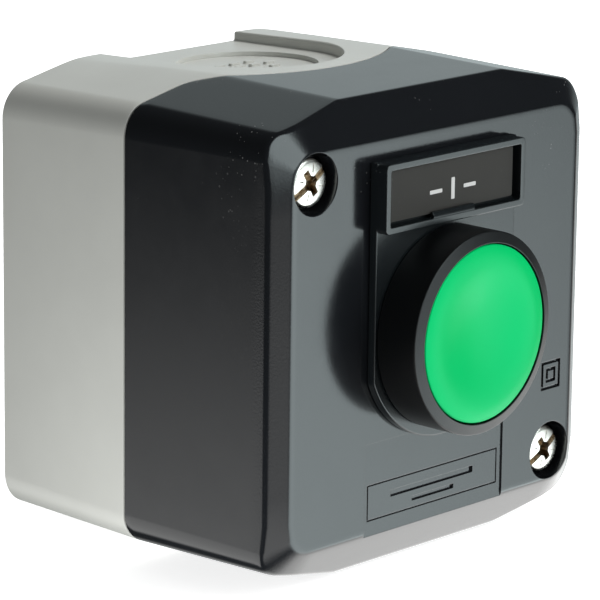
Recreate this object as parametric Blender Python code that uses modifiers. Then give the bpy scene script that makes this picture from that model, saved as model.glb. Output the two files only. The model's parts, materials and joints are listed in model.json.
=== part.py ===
"""A wall-mounted control station with one flush green push button.

The frame: +X is the viewer's right, -Y points out of the wall towards the viewer and +Z is up.
The origin is the middle of the rear face, where the station meets the wall. A depth is always the
distance in front of the wall, so a point at depth d has y = -d. Lengths are metres.
"""
import math

import bmesh
import bpy
from mathutils import Matrix

MM = 0.001

# clearances
FLAT_GAP = 0.2 * MM
ROUND_GAP = 0.3 * MM

# enclosure: half width, half height, the ridge's distance from the middle and the corner radius
REAR_HALF = (33.75 * MM, 33.55 * MM, 19.4 * MM, 5.1 * MM)
SEAM_HALF = (34.0 * MM, 34.55 * MM, 17.5 * MM, 4.9 * MM)
FRONT_HALF = (33.35 * MM, 33.9 * MM, 17.5 * MM, 3.9 * MM)
DEPTH = 54.0 * MM
SEAM_DEPTH = 25.06 * MM
ROOF_SLOPE = 0.211
REAR_EDGE = 0.2 * MM
CORNER_STEPS = 5
WALL = 2.4 * MM
REAR_WALL = 2.5 * MM
FRONT_WALL = 2.6 * MM

# front chamfer: the flat field of the face, and the depth lost for each step outwards
FIELD_HALF = (30.35 * MM, 28.3 * MM)
FIELD_R = 4.2 * MM
CHAMFER_SLOPE = 0.629

# seam: it swells forwards round the cable entries as an arc
SEAM_ARC_R = 31.0 * MM
SEAM_APEX = 33.8 * MM
SEAM_BLEND = 0.8 * MM
SEAM_GAP = 0.22 * MM
TONGUE_INSET = 1.5 * MM
TONGUE_RISE = 2.0 * MM
REBATE_INSET = 1.2 * MM
REBATE_DEPTH = 3.6 * MM

# cable entries, top and bottom
SEAT_HALF = 14.1 * MM
SEAT_FLOOR = 32.4 * MM
SEAT_WALL = 2.4 * MM
ENTRY_DEPTH = 16.2 * MM
ENTRY_R = 10.4 * MM
ENTRY_SINK = 0.7 * MM
ENTRY_WEB = 0.7 * MM
ENTRY_GROOVE = 0.7 * MM

# fasteners
LID_SCREWS = {"upper_left": (-25.83 * MM, 23.85 * MM), "lower_right": (25.83 * MM, -23.85 * MM)}
WALL_SLOTS = ((25.3 * MM, 23.5 * MM), (-25.3 * MM, -23.5 * MM))
WALL_SLOT_R = 2.4 * MM
WALL_SLOT_REACH = 1.2 * MM
COLLAR_R = 5.0 * MM
COLLAR_FRONT = 4.5 * MM
SCREW_WELL_R = 4.32 * MM
SCREW_WELL_FLOOR = 50.0 * MM
SCREW_SHANK_R = 2.0 * MM
SCREW_HEAD_R = 3.47 * MM
SCREW_HEAD_FRONT = 53.05 * MM
SCREW_TURN = math.radians(31.0)
BOSS_R = 5.4 * MM
BOSS_REAR = 33.4 * MM
PILLAR_R = 4.2 * MM
PILLAR_FRONT = 32.5 * MM

# button head
HOLE_R = 11.2 * MM
BARREL_R = 11.0 * MM
BARREL_REAR = 41.2 * MM
KEY_HALF = 1.3 * MM
KEY_TOP = 12.0 * MM
GROOVE_R = (12.3 * MM, 13.7 * MM)
BEZEL_R = 14.6 * MM
BEZEL_FRONT = 62.35 * MM
BEZEL_CREST = 62.88 * MM
CAP_R = 12.76 * MM
CAP_PEAK = 63.0 * MM
CAP_PEAK_R = 11.4 * MM
CAP_DISH = 0.85 * MM
CAP_FALL = 0.1 * MM
CAP_EDGE = 0.25 * MM
CAP_REAR = 61.6 * MM
PLUNGER_R = 9.1 * MM
STEM_R = 4.9 * MM
STEM_REAR = 38.5 * MM

# legend holder
HOLDER_HALF = 14.87 * MM
HOLDER_REAR = 54.15 * MM
HOLDER_FRONT = 55.3 * MM
HOLDER_ROUND_R = 16.0 * MM
FRAME_Z = (15.43 * MM, 25.4 * MM)
FRAME_FRONT = 57.09 * MM
FRAME_RIM = 1.0 * MM
WINDOW_FLOOR = 55.5 * MM
LEGEND_X = (-13.6 * MM, 13.0 * MM)
LEGEND_Z = (16.95 * MM, 24.2 * MM)
LEGEND_FRONT = 56.25 * MM

# contact block
BLOCK_HALF = (9.0 * MM, 17.7 * MM)
BLOCK_DEPTHS = (3.5 * MM, 24.0 * MM)
COVER_DEPTHS = (24.2 * MM, 28.5 * MM)
BLOCK_WALL = 1.4 * MM
CHAMBER_HALF = 9.4 * MM
TERMINAL_Z = 13.0 * MM
TERMINAL_HOLE_R = 1.9 * MM
TIP_Z = 4.8 * MM
TIP_R = 1.4 * MM

ROUND_STEPS = 48
SMALL_STEPS = 24
OUTSIDE = 60 * MM

COLOURS = {
    "light_grey": ((0.50, 0.50, 0.46), 0.45, 0.0),
    "dark_grey": ((0.035, 0.042, 0.046), 0.38, 0.0),
    "black": ((0.012, 0.012, 0.013), 0.45, 0.0),
    "legend": ((0.05, 0.048, 0.045), 0.5, 0.0),
    "green": ((0.0, 0.60, 0.16), 0.35, 0.0),
    "white": ((0.75, 0.75, 0.72), 0.5, 0.0),
    "rubber": ((0.02, 0.02, 0.02), 0.8, 0.0),
    "nickel": ((0.78, 0.75, 0.70), 0.25, 1.0),
    "steel": ((0.55, 0.55, 0.56), 0.3, 1.0),
    "brass": ((0.75, 0.55, 0.25), 0.3, 1.0),
    "contact_green": ((0.05, 0.35, 0.15), 0.5, 0.0),
}


# ---------------------------------------------------------------- scene and helpers
def clear_scene():
    for obj in list(bpy.data.objects):
        bpy.data.objects.remove(obj, do_unlink=True)


def new_collection(name):
    group = bpy.data.collections.new(name)
    bpy.context.scene.collection.children.link(group)
    return group


clear_scene()
PARTS = new_collection("push_button_station")
CUTTERS = new_collection("cutters")


def material(name):
    if name in bpy.data.materials:
        return bpy.data.materials[name]
    colour, roughness, metallic = COLOURS[name]
    made = bpy.data.materials.new(name)
    made.use_nodes = True
    shader = made.node_tree.nodes["Principled BSDF"]
    shader.inputs["Base Color"].default_value = (*colour, 1.0)
    shader.inputs["Roughness"].default_value = roughness
    shader.inputs["Metallic"].default_value = metallic
    return made


def place(name, mesh, colour=None):
    """Link a mesh as a part, or as a cutter when it has no colour."""
    obj = bpy.data.objects.new(name, mesh)
    if colour is None:
        CUTTERS.objects.link(obj)
        obj.hide_render = True
        obj.display_type = "WIRE"
    else:
        PARTS.objects.link(obj)
        mesh.materials.append(material(colour))
    return obj


def finish_mesh(name, bm):
    bmesh.ops.recalc_face_normals(bm, faces=bm.faces)
    mesh = bpy.data.meshes.new(name)
    bm.to_mesh(mesh)
    bm.free()
    return mesh


def box(name, x, depth, z, colour=None):
    """A block between two values of x, of depth in front of the wall and of z."""
    bm = bmesh.new()
    bmesh.ops.create_cube(bm, size=1.0)
    size = (x[1] - x[0], depth[1] - depth[0], z[1] - z[0])
    middle = ((x[0] + x[1]) / 2, -(depth[0] + depth[1]) / 2, (z[0] + z[1]) / 2)
    bmesh.ops.transform(bm, matrix=Matrix.Translation(middle) @ Matrix.Diagonal((*size, 1)), verts=bm.verts)
    return place(name, finish_mesh(name, bm), colour)


def rod(name, radius, depth, at=(0.0, 0.0), colour=None, steps=ROUND_STEPS):
    """A round bar that points out of the wall, between two depths, centred on (x, z)."""
    bm = bmesh.new()
    length = depth[1] - depth[0]
    bmesh.ops.create_cone(bm, cap_ends=True, segments=steps, radius1=radius, radius2=radius, depth=length)
    turn = Matrix.Rotation(math.pi / 2, 4, "X")
    middle = Matrix.Translation((at[0], -(depth[0] + depth[1]) / 2, at[1]))
    bmesh.ops.transform(bm, matrix=middle @ turn, verts=bm.verts)
    return place(name, finish_mesh(name, bm), colour)


def loft(name, rings, colour=None):
    """A closed skin through rings of (x, z) points, each ring at its own depth."""
    bm = bmesh.new()
    loops = [[bm.verts.new((x, -depth, z)) for x, z in points] for points, depth in rings]
    for near, far in zip(loops, loops[1:]):
        for i in range(len(near)):
            j = (i + 1) % len(near)
            bm.faces.new((near[i], near[j], far[j], far[i]))
    bm.faces.new(loops[0])
    bm.faces.new(loops[-1])
    return place(name, finish_mesh(name, bm), colour)


def plate(name, points, z, colour=None):
    """A flat plan of (x, depth) points, raised between two heights."""
    bm = bmesh.new()
    face = bm.faces.new([bm.verts.new((x, -depth, z[0])) for x, depth in points])
    raised = bmesh.ops.extrude_face_region(bm, geom=[face])
    top = [v for v in raised["geom"] if isinstance(v, bmesh.types.BMVert)]
    bmesh.ops.translate(bm, vec=(0, 0, z[1] - z[0]), verts=top)
    return place(name, finish_mesh(name, bm), colour)


def turned(name, profile, colour=None, at=(0.0, 0.0), steps=ROUND_STEPS):
    """A turned shape about the line through (x, z), from (radius, depth) points.

    A profile that starts and ends on the axis runs from its front to its rear. Any other profile
    is a closed ring.
    """
    on_axis = profile[0][0] == 0.0 and profile[-1][0] == 0.0
    points = list(profile)
    if not on_axis:
        pairs = zip(points, points[1:] + points[:1])
        area = sum(a[0] * b[1] - b[0] * a[1] for a, b in pairs)
        if area > 0:
            points.reverse()
    mesh = bpy.data.meshes.new(name)
    edges = [(i, i + 1) for i in range(len(points) - 1)]
    if not on_axis:
        edges.append((len(points) - 1, 0))
    mesh.from_pydata([(radius, 0, depth) for radius, depth in points], edges, [])
    obj = place(name, mesh, colour)
    obj.location = (at[0], 0, at[1])
    obj.rotation_euler = (math.pi / 2, 0, 0)
    screw = obj.modifiers.new("turn", "SCREW")
    screw.steps = screw.render_steps = steps
    screw.use_merge_vertices = True
    screw.merge_threshold = 0.00001
    return obj


def spring(name, radius, wire_r, depth, turns, colour):
    """A coil spring about the button's axis, with closed end turns."""
    steps = 12
    end_turns = 1.0
    total = turns + 2 * end_turns
    low, high = depth[0] + wire_r, depth[1] - wire_r
    closed = end_turns * 2 * wire_r * 1.08
    curve = bpy.data.curves.new(name, "CURVE")
    curve.dimensions = "3D"
    curve.bevel_depth = wire_r
    curve.bevel_resolution = 2
    curve.use_fill_caps = True
    count = int(total * steps) + 1
    line = curve.splines.new("POLY")
    line.points.add(count - 1)
    for i, point in enumerate(line.points):
        turn = total * i / (count - 1)
        if turn < end_turns:
            at = low + closed * turn / end_turns
        elif turn > total - end_turns:
            at = high - closed * (total - turn) / end_turns
        else:
            at = low + closed + (high - low - 2 * closed) * (turn - end_turns) / turns
        angle = 2 * math.pi * turn
        point.co = (radius * math.cos(angle), radius * math.sin(angle), at, 1)
    obj = bpy.data.objects.new(name, curve)
    PARTS.objects.link(obj)
    curve.materials.append(material(colour))
    obj.rotation_euler = (math.pi / 2, 0, 0)
    return obj


def combine(obj, other, operation="DIFFERENCE"):
    modifier = obj.modifiers.new(other.name, "BOOLEAN")
    modifier.operation = operation
    modifier.solver = "EXACT"
    modifier.object = other


def cut(obj, *others):
    for other in others:
        combine(obj, other)


def join(obj, *others):
    for other in others:
        combine(obj, other, "UNION")


def merge_cutters(name, cutters):
    """Gather cutters that don't touch into one, so that a single Boolean uses them all."""
    bm = bmesh.new()
    for cutter in cutters:
        bm.from_mesh(cutter.data)
        bpy.data.objects.remove(cutter, do_unlink=True)
    return place(name, finish_mesh(name, bm))


def smooth(obj, degrees=35):
    if obj.type == "MESH" and not any(m.type == "SCREW" for m in obj.modifiers):
        obj.data.shade_smooth()
        obj.data.set_sharp_from_angle(angle=math.radians(degrees))


# ---------------------------------------------------------------- outlines
def section(half, inset=0.0):
    """The enclosure's outline as (x, z) points: straight sides, round corners, sloping roof."""
    half_w, half_h, ridge_x, corner_r = half
    tilt = math.atan(ROOF_SLOPE)
    centre_x = half_w - corner_r
    centre_z = half_h - ROOF_SLOPE * (centre_x - ridge_x) - corner_r / math.cos(tilt)
    radius = max(corner_r - inset, 0.4 * MM)
    ridge = ridge_x - inset * (1 / math.cos(tilt) - 1) / ROOF_SLOPE
    quarter = []
    for i in range(CORNER_STEPS + 1):
        angle = (math.pi / 2 - tilt) * i / CORNER_STEPS
        quarter.append((centre_x + radius * math.cos(angle), centre_z + radius * math.sin(angle)))
    if inset > corner_r - radius:
        shift = inset - (corner_r - radius)
        quarter = [(x - shift, z - shift) for x, z in quarter]
    quarter.append((ridge, half_h - inset))
    upper = quarter + [(-x, z) for x, z in reversed(quarter)]
    return upper + [(-x, -z) for x, z in upper]


def rounded_rectangle(half_w, half_h, radius, steps=8, middle=(0.0, 0.0)):
    points = []
    for turn, (sx, sz) in enumerate(((1, 1), (-1, 1), (-1, -1), (1, -1))):
        for i in range(steps + 1):
            angle = math.pi / 2 * (turn + i / steps)
            x = sx * (half_w - radius) + radius * math.cos(angle)
            z = sz * (half_h - radius) + radius * math.sin(angle)
            points.append((middle[0] + x, middle[1] + z))
    return points


def seam_depth(x):
    """The seam's depth in front of the wall: flat at the sides, an arc in the middle."""
    arc = SEAM_APEX - SEAM_ARC_R + math.sqrt(max(SEAM_ARC_R**2 - x**2, 0.0))
    return (arc + SEAM_DEPTH + math.hypot(arc - SEAM_DEPTH, SEAM_BLEND)) / 2


def seam_block(name, shift, ahead):
    """All that lies ahead of the shifted seam, or all that lies behind it."""
    reach = 24 * MM
    count = 36
    line = [(-OUTSIDE, SEAM_DEPTH + shift)]
    for i in range(count + 1):
        x = -reach + 2 * reach * i / count
        line.append((x, seam_depth(x) + shift))
    line.append((OUTSIDE, SEAM_DEPTH + shift))
    far = 2 * OUTSIDE if ahead else -OUTSIDE
    return plate(name, line + [(OUTSIDE, far), (-OUTSIDE, far)], (-OUTSIDE, OUTSIDE))


def entry_plan(half_w, rear):
    """The plan of a cable entry's seat: open at the wall, round at the front."""
    steps = 18
    points = [(half_w, rear)]
    for i in range(steps + 1):
        angle = math.pi * i / steps
        points.append((half_w * math.cos(angle), ENTRY_DEPTH + half_w * math.sin(angle)))
    points.append((-half_w, rear))
    return points


def blend(a, b, share):
    return tuple(p + (q - p) * share for p, q in zip(a, b))


def half_size(depth):
    """The enclosure's size, ridge and corner radius at a depth, with the draft of its walls."""
    if depth < SEAM_DEPTH:
        return blend(REAR_HALF, SEAM_HALF, depth / SEAM_DEPTH)
    return blend(SEAM_HALF, FRONT_HALF, (depth - SEAM_DEPTH) / (DEPTH - SEAM_DEPTH))


def walls(inset, *depths):
    """Rings of the enclosure's drafted section, moved in by an inset."""
    return [(section(half_size(depth), inset), depth) for depth in depths]


# ---------------------------------------------------------------- enclosure
def entry_marks(side):
    """Raised dashes on a knock-out: a ring of them, and two bars in the middle."""
    sunk = SEAT_FLOOR - ENTRY_SINK
    low, high = sorted((side * (sunk - 0.2 * MM), side * (sunk + 0.35 * MM)))
    marks = []
    count = 8
    for i in range(count):
        angle = 2 * math.pi * i / count
        bm = bmesh.new()
        bmesh.ops.create_cube(bm, size=1.0)
        shape = Matrix.Diagonal((0.7 * MM, 2.2 * MM, high - low, 1))
        out = Matrix.Translation((7.2 * MM, 0, 0))
        turn = Matrix.Rotation(angle, 4, "Z")
        to = Matrix.Translation((0, -ENTRY_DEPTH, (low + high) / 2))
        bmesh.ops.transform(bm, matrix=to @ turn @ out @ shape, verts=bm.verts)
        marks.append(place(f"dash_{side}_{i}", finish_mesh("dash", bm)))
    for shift in (-1.6 * MM, 1.6 * MM):
        across = (-3.0 * MM, 3.0 * MM)
        depth = (ENTRY_DEPTH + shift - 0.4 * MM, ENTRY_DEPTH + shift + 0.4 * MM)
        marks.append(box(f"bar_{side}_{shift}", across, depth, (low, high)))
    return merge_cutters(f"entry_marks_{side}", marks)


def upright(name, radius, z, depth_at, steps=36):
    """A round bar along Z, in the middle of the width."""
    bm = bmesh.new()
    length = z[1] - z[0]
    bmesh.ops.create_cone(bm, cap_ends=True, segments=steps, radius1=radius, radius2=radius, depth=length)
    middle = Matrix.Translation((0, -depth_at, (z[0] + z[1]) / 2))
    bmesh.ops.transform(bm, matrix=middle, verts=bm.verts)
    return place(name, finish_mesh(name, bm))


def cable_entry(base, side):
    """A sunk seat with a knock-out, on the top (side 1) or the bottom (side -1)."""
    name = "top" if side > 0 else "bottom"

    def span(a, b):
        return tuple(sorted((side * a, side * b)))

    pad_inner = SEAT_FLOOR - SEAT_WALL
    pad_plan = entry_plan(SEAT_HALF + 2.5 * MM, REAR_WALL / 2)
    join(base, plate(f"{name}_pad", pad_plan, span(pad_inner, SEAT_FLOOR + 0.5 * MM)))
    cut(base, plate(f"{name}_seat", entry_plan(SEAT_HALF, -OUTSIDE), span(SEAT_FLOOR, OUTSIDE)))
    sunk = SEAT_FLOOR - ENTRY_SINK
    cut(base, upright(f"{name}_sink", ENTRY_R, span(sunk, OUTSIDE), ENTRY_DEPTH))
    groove = upright(f"{name}_groove", ENTRY_R, span(pad_inner - 5 * MM, sunk - ENTRY_WEB), ENTRY_DEPTH)
    core_r = ENTRY_R - ENTRY_GROOVE
    core = upright(f"{name}_core", core_r, span(pad_inner - 6 * MM, sunk), ENTRY_DEPTH)
    cut(groove, core)
    cut(base, groove)
    join(base, entry_marks(side))


def rear_base():
    rings = walls(REAR_EDGE, 0.0) + walls(0.0, REAR_EDGE, SEAM_DEPTH, SEAM_APEX + 4 * MM)
    base = loft("rear_base", rings, "light_grey")
    cut(base, seam_block("base_front_cut", 0.0, ahead=True))
    tongue = loft("base_tongue", walls(TONGUE_INSET, SEAM_DEPTH - 4 * MM, SEAM_DEPTH, SEAM_APEX + 6 * MM))
    cut(tongue, seam_block("tongue_front_cut", TONGUE_RISE, ahead=True))
    join(base, tongue)
    cut(base, loft("base_hollow", walls(WALL, REAR_WALL, SEAM_DEPTH, OUTSIDE)))
    for side in (1, -1):
        cable_entry(base, side)
    for name, at in LID_SCREWS.items():
        join(base, rod(f"{name}_pillar", PILLAR_R, (REAR_WALL - 0.5 * MM, PILLAR_FRONT), at, steps=32))
        pilot = (PILLAR_FRONT - 13 * MM, OUTSIDE)
        cut(base, rod(f"{name}_pilot", SCREW_SHANK_R + ROUND_GAP, pilot, at, steps=20))
    for i, at in enumerate(WALL_SLOTS):
        join(base, rod(f"wall_collar_{i}", COLLAR_R, (REAR_WALL - 0.5 * MM, COLLAR_FRONT), at, steps=32))
        half = (WALL_SLOT_R + WALL_SLOT_REACH, WALL_SLOT_R)
        outline = rounded_rectangle(*half, WALL_SLOT_R, middle=at)
        cut(base, loft(f"wall_slot_{i}", [(outline, -OUTSIDE), (outline, OUTSIDE)]))
    block_mounts(base)
    rear_relief(base)
    return base


def block_mounts(base):
    """Two rails under the contact block and two hooks that hold its ends."""
    rail_front = BLOCK_DEPTHS[0] - FLAT_GAP
    wall = REAR_WALL - 0.3 * MM
    for side in (1, -1):
        rail_z = tuple(sorted((side * 9 * MM, side * 11 * MM)))
        join(base, box(f"rail_{side}", (-8 * MM, 8 * MM), (wall, rail_front), rail_z))
        post_z = tuple(sorted((side * 18.1 * MM, side * 19.6 * MM)))
        join(base, box(f"hook_post_{side}", (-4 * MM, 4 * MM), (wall, 7.6 * MM), post_z))
        lip_z = tuple(sorted((side * 17.05 * MM, side * 18.5 * MM)))
        join(base, box(f"hook_lip_{side}", (-3.99 * MM, 3.99 * MM), (6.2 * MM, 7.59 * MM), lip_z))


def rear_relief(base):
    """Shallow pockets and the ring of a knock-out in the face that meets the wall."""
    relief = 0.8 * MM
    for side in (1, -1):
        x = tuple(sorted((side * 15.5 * MM, side * 29.5 * MM)))
        cut(base, box(f"relief_{side}", x, (-1 * MM, relief), (-17 * MM, 17 * MM)))
    ring = [(9.6 * MM, -1 * MM), (10.2 * MM, -1 * MM), (10.2 * MM, relief), (9.6 * MM, relief)]
    cut(base, turned("rear_ring", ring))


def lid_screw_seats(lid):
    """A boss behind the face for each lid screw, with a well for its head."""
    for name, at in LID_SCREWS.items():
        join(lid, rod(f"{name}_boss", BOSS_R, (BOSS_REAR, DEPTH - FRONT_WALL + 1 * MM), at, steps=40))
        cut(lid, rod(f"{name}_way", SCREW_SHANK_R + ROUND_GAP, (BOSS_REAR - 5 * MM, DEPTH), at, steps=20))
        cut(lid, rod(f"{name}_well", SCREW_WELL_R, (SCREW_WELL_FLOOR, DEPTH + 5 * MM), at, steps=40))


def frame_cutter(name, x, z, width, depth):
    """A rectangular line of one width, as a closed frame."""
    outer = box(name, x, depth, z)
    inner_x = (x[0] + width, x[1] - width)
    inner_z = (z[0] + width, z[1] - width)
    cut(outer, box(f"{name}_middle", inner_x, (depth[0] - 1 * MM, depth[1] + 1 * MM), inner_z))
    return outer


def face_marks(lid):
    """The sunk label field, its thin border and plain bars, and the double square."""
    sink = 0.25 * MM
    above = DEPTH + 2 * MM
    floor = DEPTH - sink
    cut(lid, box("label_field", (-14.97 * MM, 14.97 * MM), (floor, above), (-27.75 * MM, -15.05 * MM)))
    border_x, border_z = (-14.2 * MM, 14.0 * MM), (-26.4 * MM, -21.1 * MM)
    cut(lid, frame_cutter("label_border", border_x, border_z, 0.22 * MM, (floor - 0.2 * MM, above)))
    bars = [
        box("long_bar", (-9.2 * MM, 8.6 * MM), (floor - 0.35 * MM, above), (-23.7 * MM, -22.75 * MM)),
        box("short_bar", (-4.6 * MM, 4.4 * MM), (floor - 0.35 * MM, above), (-25.25 * MM, -24.6 * MM)),
    ]
    cut(lid, merge_cutters("label_bars", bars))
    engraved = (DEPTH - 0.45 * MM, above)
    square_x, square_z, line_w = 25.73 * MM, -12.25 * MM, 0.45 * MM
    for name, half in (("outer_square", 2.15 * MM), ("inner_square", 1.08 * MM)):
        x = (square_x - half, square_x + half)
        z = (square_z - half, square_z + half)
        cut(lid, frame_cutter(name, x, z, line_w, engraved))


def front_lid():
    lid = loft("front_lid", walls(0.0, SEAM_DEPTH - 3 * MM, SEAM_DEPTH, DEPTH), "dark_grey")
    cut(lid, seam_block("lid_rear_cut", SEAM_GAP, ahead=False))
    spread = 9 * MM
    field = rounded_rectangle(*FIELD_HALF, FIELD_R)
    foot = rounded_rectangle(FIELD_HALF[0] + spread, FIELD_HALF[1] + spread, FIELD_R + spread)
    cone = [(field, DEPTH), (foot, DEPTH - spread * CHAMFER_SLOPE), (foot, 0.0)]
    combine(lid, loft("face_chamfer", cone), "INTERSECT")
    rebate = loft("lid_rebate", walls(REBATE_INSET, 10 * MM, SEAM_DEPTH, SEAM_APEX + 6 * MM))
    cut(rebate, seam_block("rebate_front_cut", REBATE_DEPTH, ahead=True))
    cut(lid, rebate)
    chamfer_start = 48.2 * MM
    chamfer_inset = 4.2 * MM
    hollow = walls(WALL, 10 * MM, SEAM_DEPTH, chamfer_start)
    hollow += walls(WALL + chamfer_inset, DEPTH - FRONT_WALL)
    cut(lid, loft("lid_hollow", hollow))
    lid_screw_seats(lid)
    cut(lid, rod("head_hole", HOLE_R, (DEPTH - 2 * FRONT_WALL, DEPTH + 5 * MM)))
    key_x = (-KEY_HALF - ROUND_GAP, KEY_HALF + ROUND_GAP)
    key_z = (HOLE_R - 2 * MM, KEY_TOP + ROUND_GAP)
    cut(lid, box("head_key_way", key_x, (DEPTH - 2 * FRONT_WALL, DEPTH + 5 * MM), key_z))
    face_marks(lid)
    return lid


def lid_gasket():
    thick = REBATE_DEPTH - TONGUE_RISE - 2 * FLAT_GAP
    ring = loft("lid_gasket", walls(TONGUE_INSET, 10 * MM, SEAM_DEPTH, SEAM_APEX + 8 * MM), "rubber")
    cut(ring, seam_block("gasket_rear_cut", TONGUE_RISE + FLAT_GAP, ahead=False))
    cut(ring, seam_block("gasket_front_cut", TONGUE_RISE + FLAT_GAP + thick, ahead=True))
    cut(ring, loft("gasket_hollow", walls(WALL, 0.0, SEAM_DEPTH, OUTSIDE)))
    return ring


# ---------------------------------------------------------------- screws
def turned_box(name, size, depth, at, angle):
    """A block centred on (x, z) and turned about the depth axis."""
    bm = bmesh.new()
    bmesh.ops.create_cube(bm, size=1.0)
    shape = Matrix.Diagonal((size[0], depth[1] - depth[0], size[1], 1))
    turn = Matrix.Rotation(-angle, 4, "Y")
    to = Matrix.Translation((at[0], -(depth[0] + depth[1]) / 2, at[1]))
    bmesh.ops.transform(bm, matrix=to @ turn @ shape, verts=bm.verts)
    return place(name, finish_mesh(name, bm))


def lid_screw(where):
    """A cross and slot screw with a low domed head."""
    at = LID_SCREWS[where]
    front = SCREW_HEAD_FRONT
    rear = SCREW_WELL_FLOOR + 1.0 * MM
    tip = 22.0 * MM
    profile = [
        (0.0, front),
        (1.6 * MM, front - 0.02 * MM),
        (2.7 * MM, front - 0.1 * MM),
        (3.2 * MM, front - 0.28 * MM),
        (SCREW_HEAD_R, front - 0.65 * MM),
        (SCREW_HEAD_R, rear),
        (SCREW_SHANK_R, rear),
        (SCREW_SHANK_R, tip + 1.0 * MM),
        (1.2 * MM, tip),
        (0.0, tip),
    ]
    screw = turned(f"lid_screw_{where}", profile, "nickel", at, steps=SMALL_STEPS)
    deep, mid = front - 1.5 * MM, front - 0.85 * MM
    ahead = front + 1 * MM
    cut(screw, turned_box(f"{where}_slot", (10 * MM, 1.05 * MM), (mid, ahead), at, SCREW_TURN))
    cut(screw, turned_box(f"{where}_cross_a", (3.9 * MM, 1.0 * MM), (deep, ahead), at, SCREW_TURN))
    across = SCREW_TURN + math.pi / 2
    cut(screw, turned_box(f"{where}_cross_b", (4.1 * MM, 1.15 * MM), (deep + 0.01 * MM, ahead), at, across))
    ticks = []
    for i in range(4):
        angle = SCREW_TURN + math.pi / 4 + i * math.pi / 2
        reach = 2.2 * MM
        spot = (at[0] + reach * math.cos(angle), at[1] + reach * math.sin(angle))
        size = (1.2 * MM, 0.16 * MM)
        ticks.append(turned_box(f"{where}_tick_{i}", size, (front - 0.3 * MM, ahead), spot, angle))
    cut(screw, merge_cutters(f"{where}_ticks", ticks))
    return screw


def screw_washer(where):
    floor = SCREW_WELL_FLOOR + FLAT_GAP
    front = SCREW_WELL_FLOOR + 0.8 * MM
    inner, outer = SCREW_SHANK_R + ROUND_GAP, 3.9 * MM
    ring = [(outer, front), (outer, floor), (inner, floor), (inner, front)]
    return turned(f"screw_washer_{where}", ring, "rubber", LID_SCREWS[where], SMALL_STEPS)


# ---------------------------------------------------------------- legend
def holder_outline(inset=0.0):
    """Square at the top, and round about the button at the bottom."""
    half = HOLDER_HALF - inset
    radius = HOLDER_ROUND_R - inset
    top = FRAME_Z[1] - inset
    start = math.acos(half / radius)
    steps = 24
    points = [(-half, top), (half, top)]
    for i in range(steps + 1):
        angle = -start - (math.pi - 2 * start) * i / steps
        points.append((radius * math.cos(angle), radius * math.sin(angle)))
    return points


def legend_holder():
    edge = 0.3 * MM
    rings = [
        (holder_outline(), HOLDER_REAR),
        (holder_outline(), HOLDER_FRONT - edge),
        (holder_outline(edge), HOLDER_FRONT),
    ]
    holder = loft("legend_holder", rings, "dark_grey")
    middle_z = (FRAME_Z[0] + FRAME_Z[1]) / 2
    half_h = (FRAME_Z[1] - FRAME_Z[0]) / 2
    round_r = 0.9 * MM
    soft = 0.15 * MM

    def ring(inset, radius):
        return rounded_rectangle(HOLDER_HALF - inset, half_h - inset, radius, 5, (0.0, middle_z))

    frame = loft(
        "legend_frame",
        [
            (ring(0.0, round_r), HOLDER_REAR + 0.2 * MM),
            (ring(0.0, round_r), FRAME_FRONT - soft),
            (ring(soft, round_r - soft), FRAME_FRONT),
        ],
    )
    join(holder, frame)
    window = loft(
        "legend_window",
        [(ring(FRAME_RIM, 0.25 * MM), depth) for depth in (WINDOW_FLOOR, FRAME_FRONT + 2 * MM)],
    )
    cut(holder, window)
    bottom = FRAME_Z[0] + FRAME_RIM
    tab_z = (bottom - 0.5 * MM, bottom + 0.75 * MM)
    join(holder, box("legend_tab", (-4.83 * MM, 3.93 * MM), (56.4 * MM, FRAME_FRONT - 0.12 * MM), tab_z))
    cut(holder, rod("holder_hole", HOLE_R, (HOLDER_REAR - 2 * MM, HOLDER_FRONT + 5 * MM)))
    key_x = (-KEY_HALF - ROUND_GAP, KEY_HALF + ROUND_GAP)
    key_z = (HOLE_R - 2 * MM, KEY_TOP + ROUND_GAP)
    cut(holder, box("holder_key_way", key_x, (HOLDER_REAR - 2 * MM, HOLDER_FRONT + 5 * MM), key_z))
    return holder


def legend_plate():
    """The insert, which lies towards the upper left of its window."""
    half_w = (LEGEND_X[1] - LEGEND_X[0]) / 2
    half_h = (LEGEND_Z[1] - LEGEND_Z[0]) / 2
    middle = (sum(LEGEND_X) / 2, sum(LEGEND_Z) / 2)
    outline = rounded_rectangle(half_w, half_h, 0.3 * MM, 3, middle)
    return loft("legend_plate", [(outline, WINDOW_FLOOR + FLAT_GAP), (outline, LEGEND_FRONT)], "legend")


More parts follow.
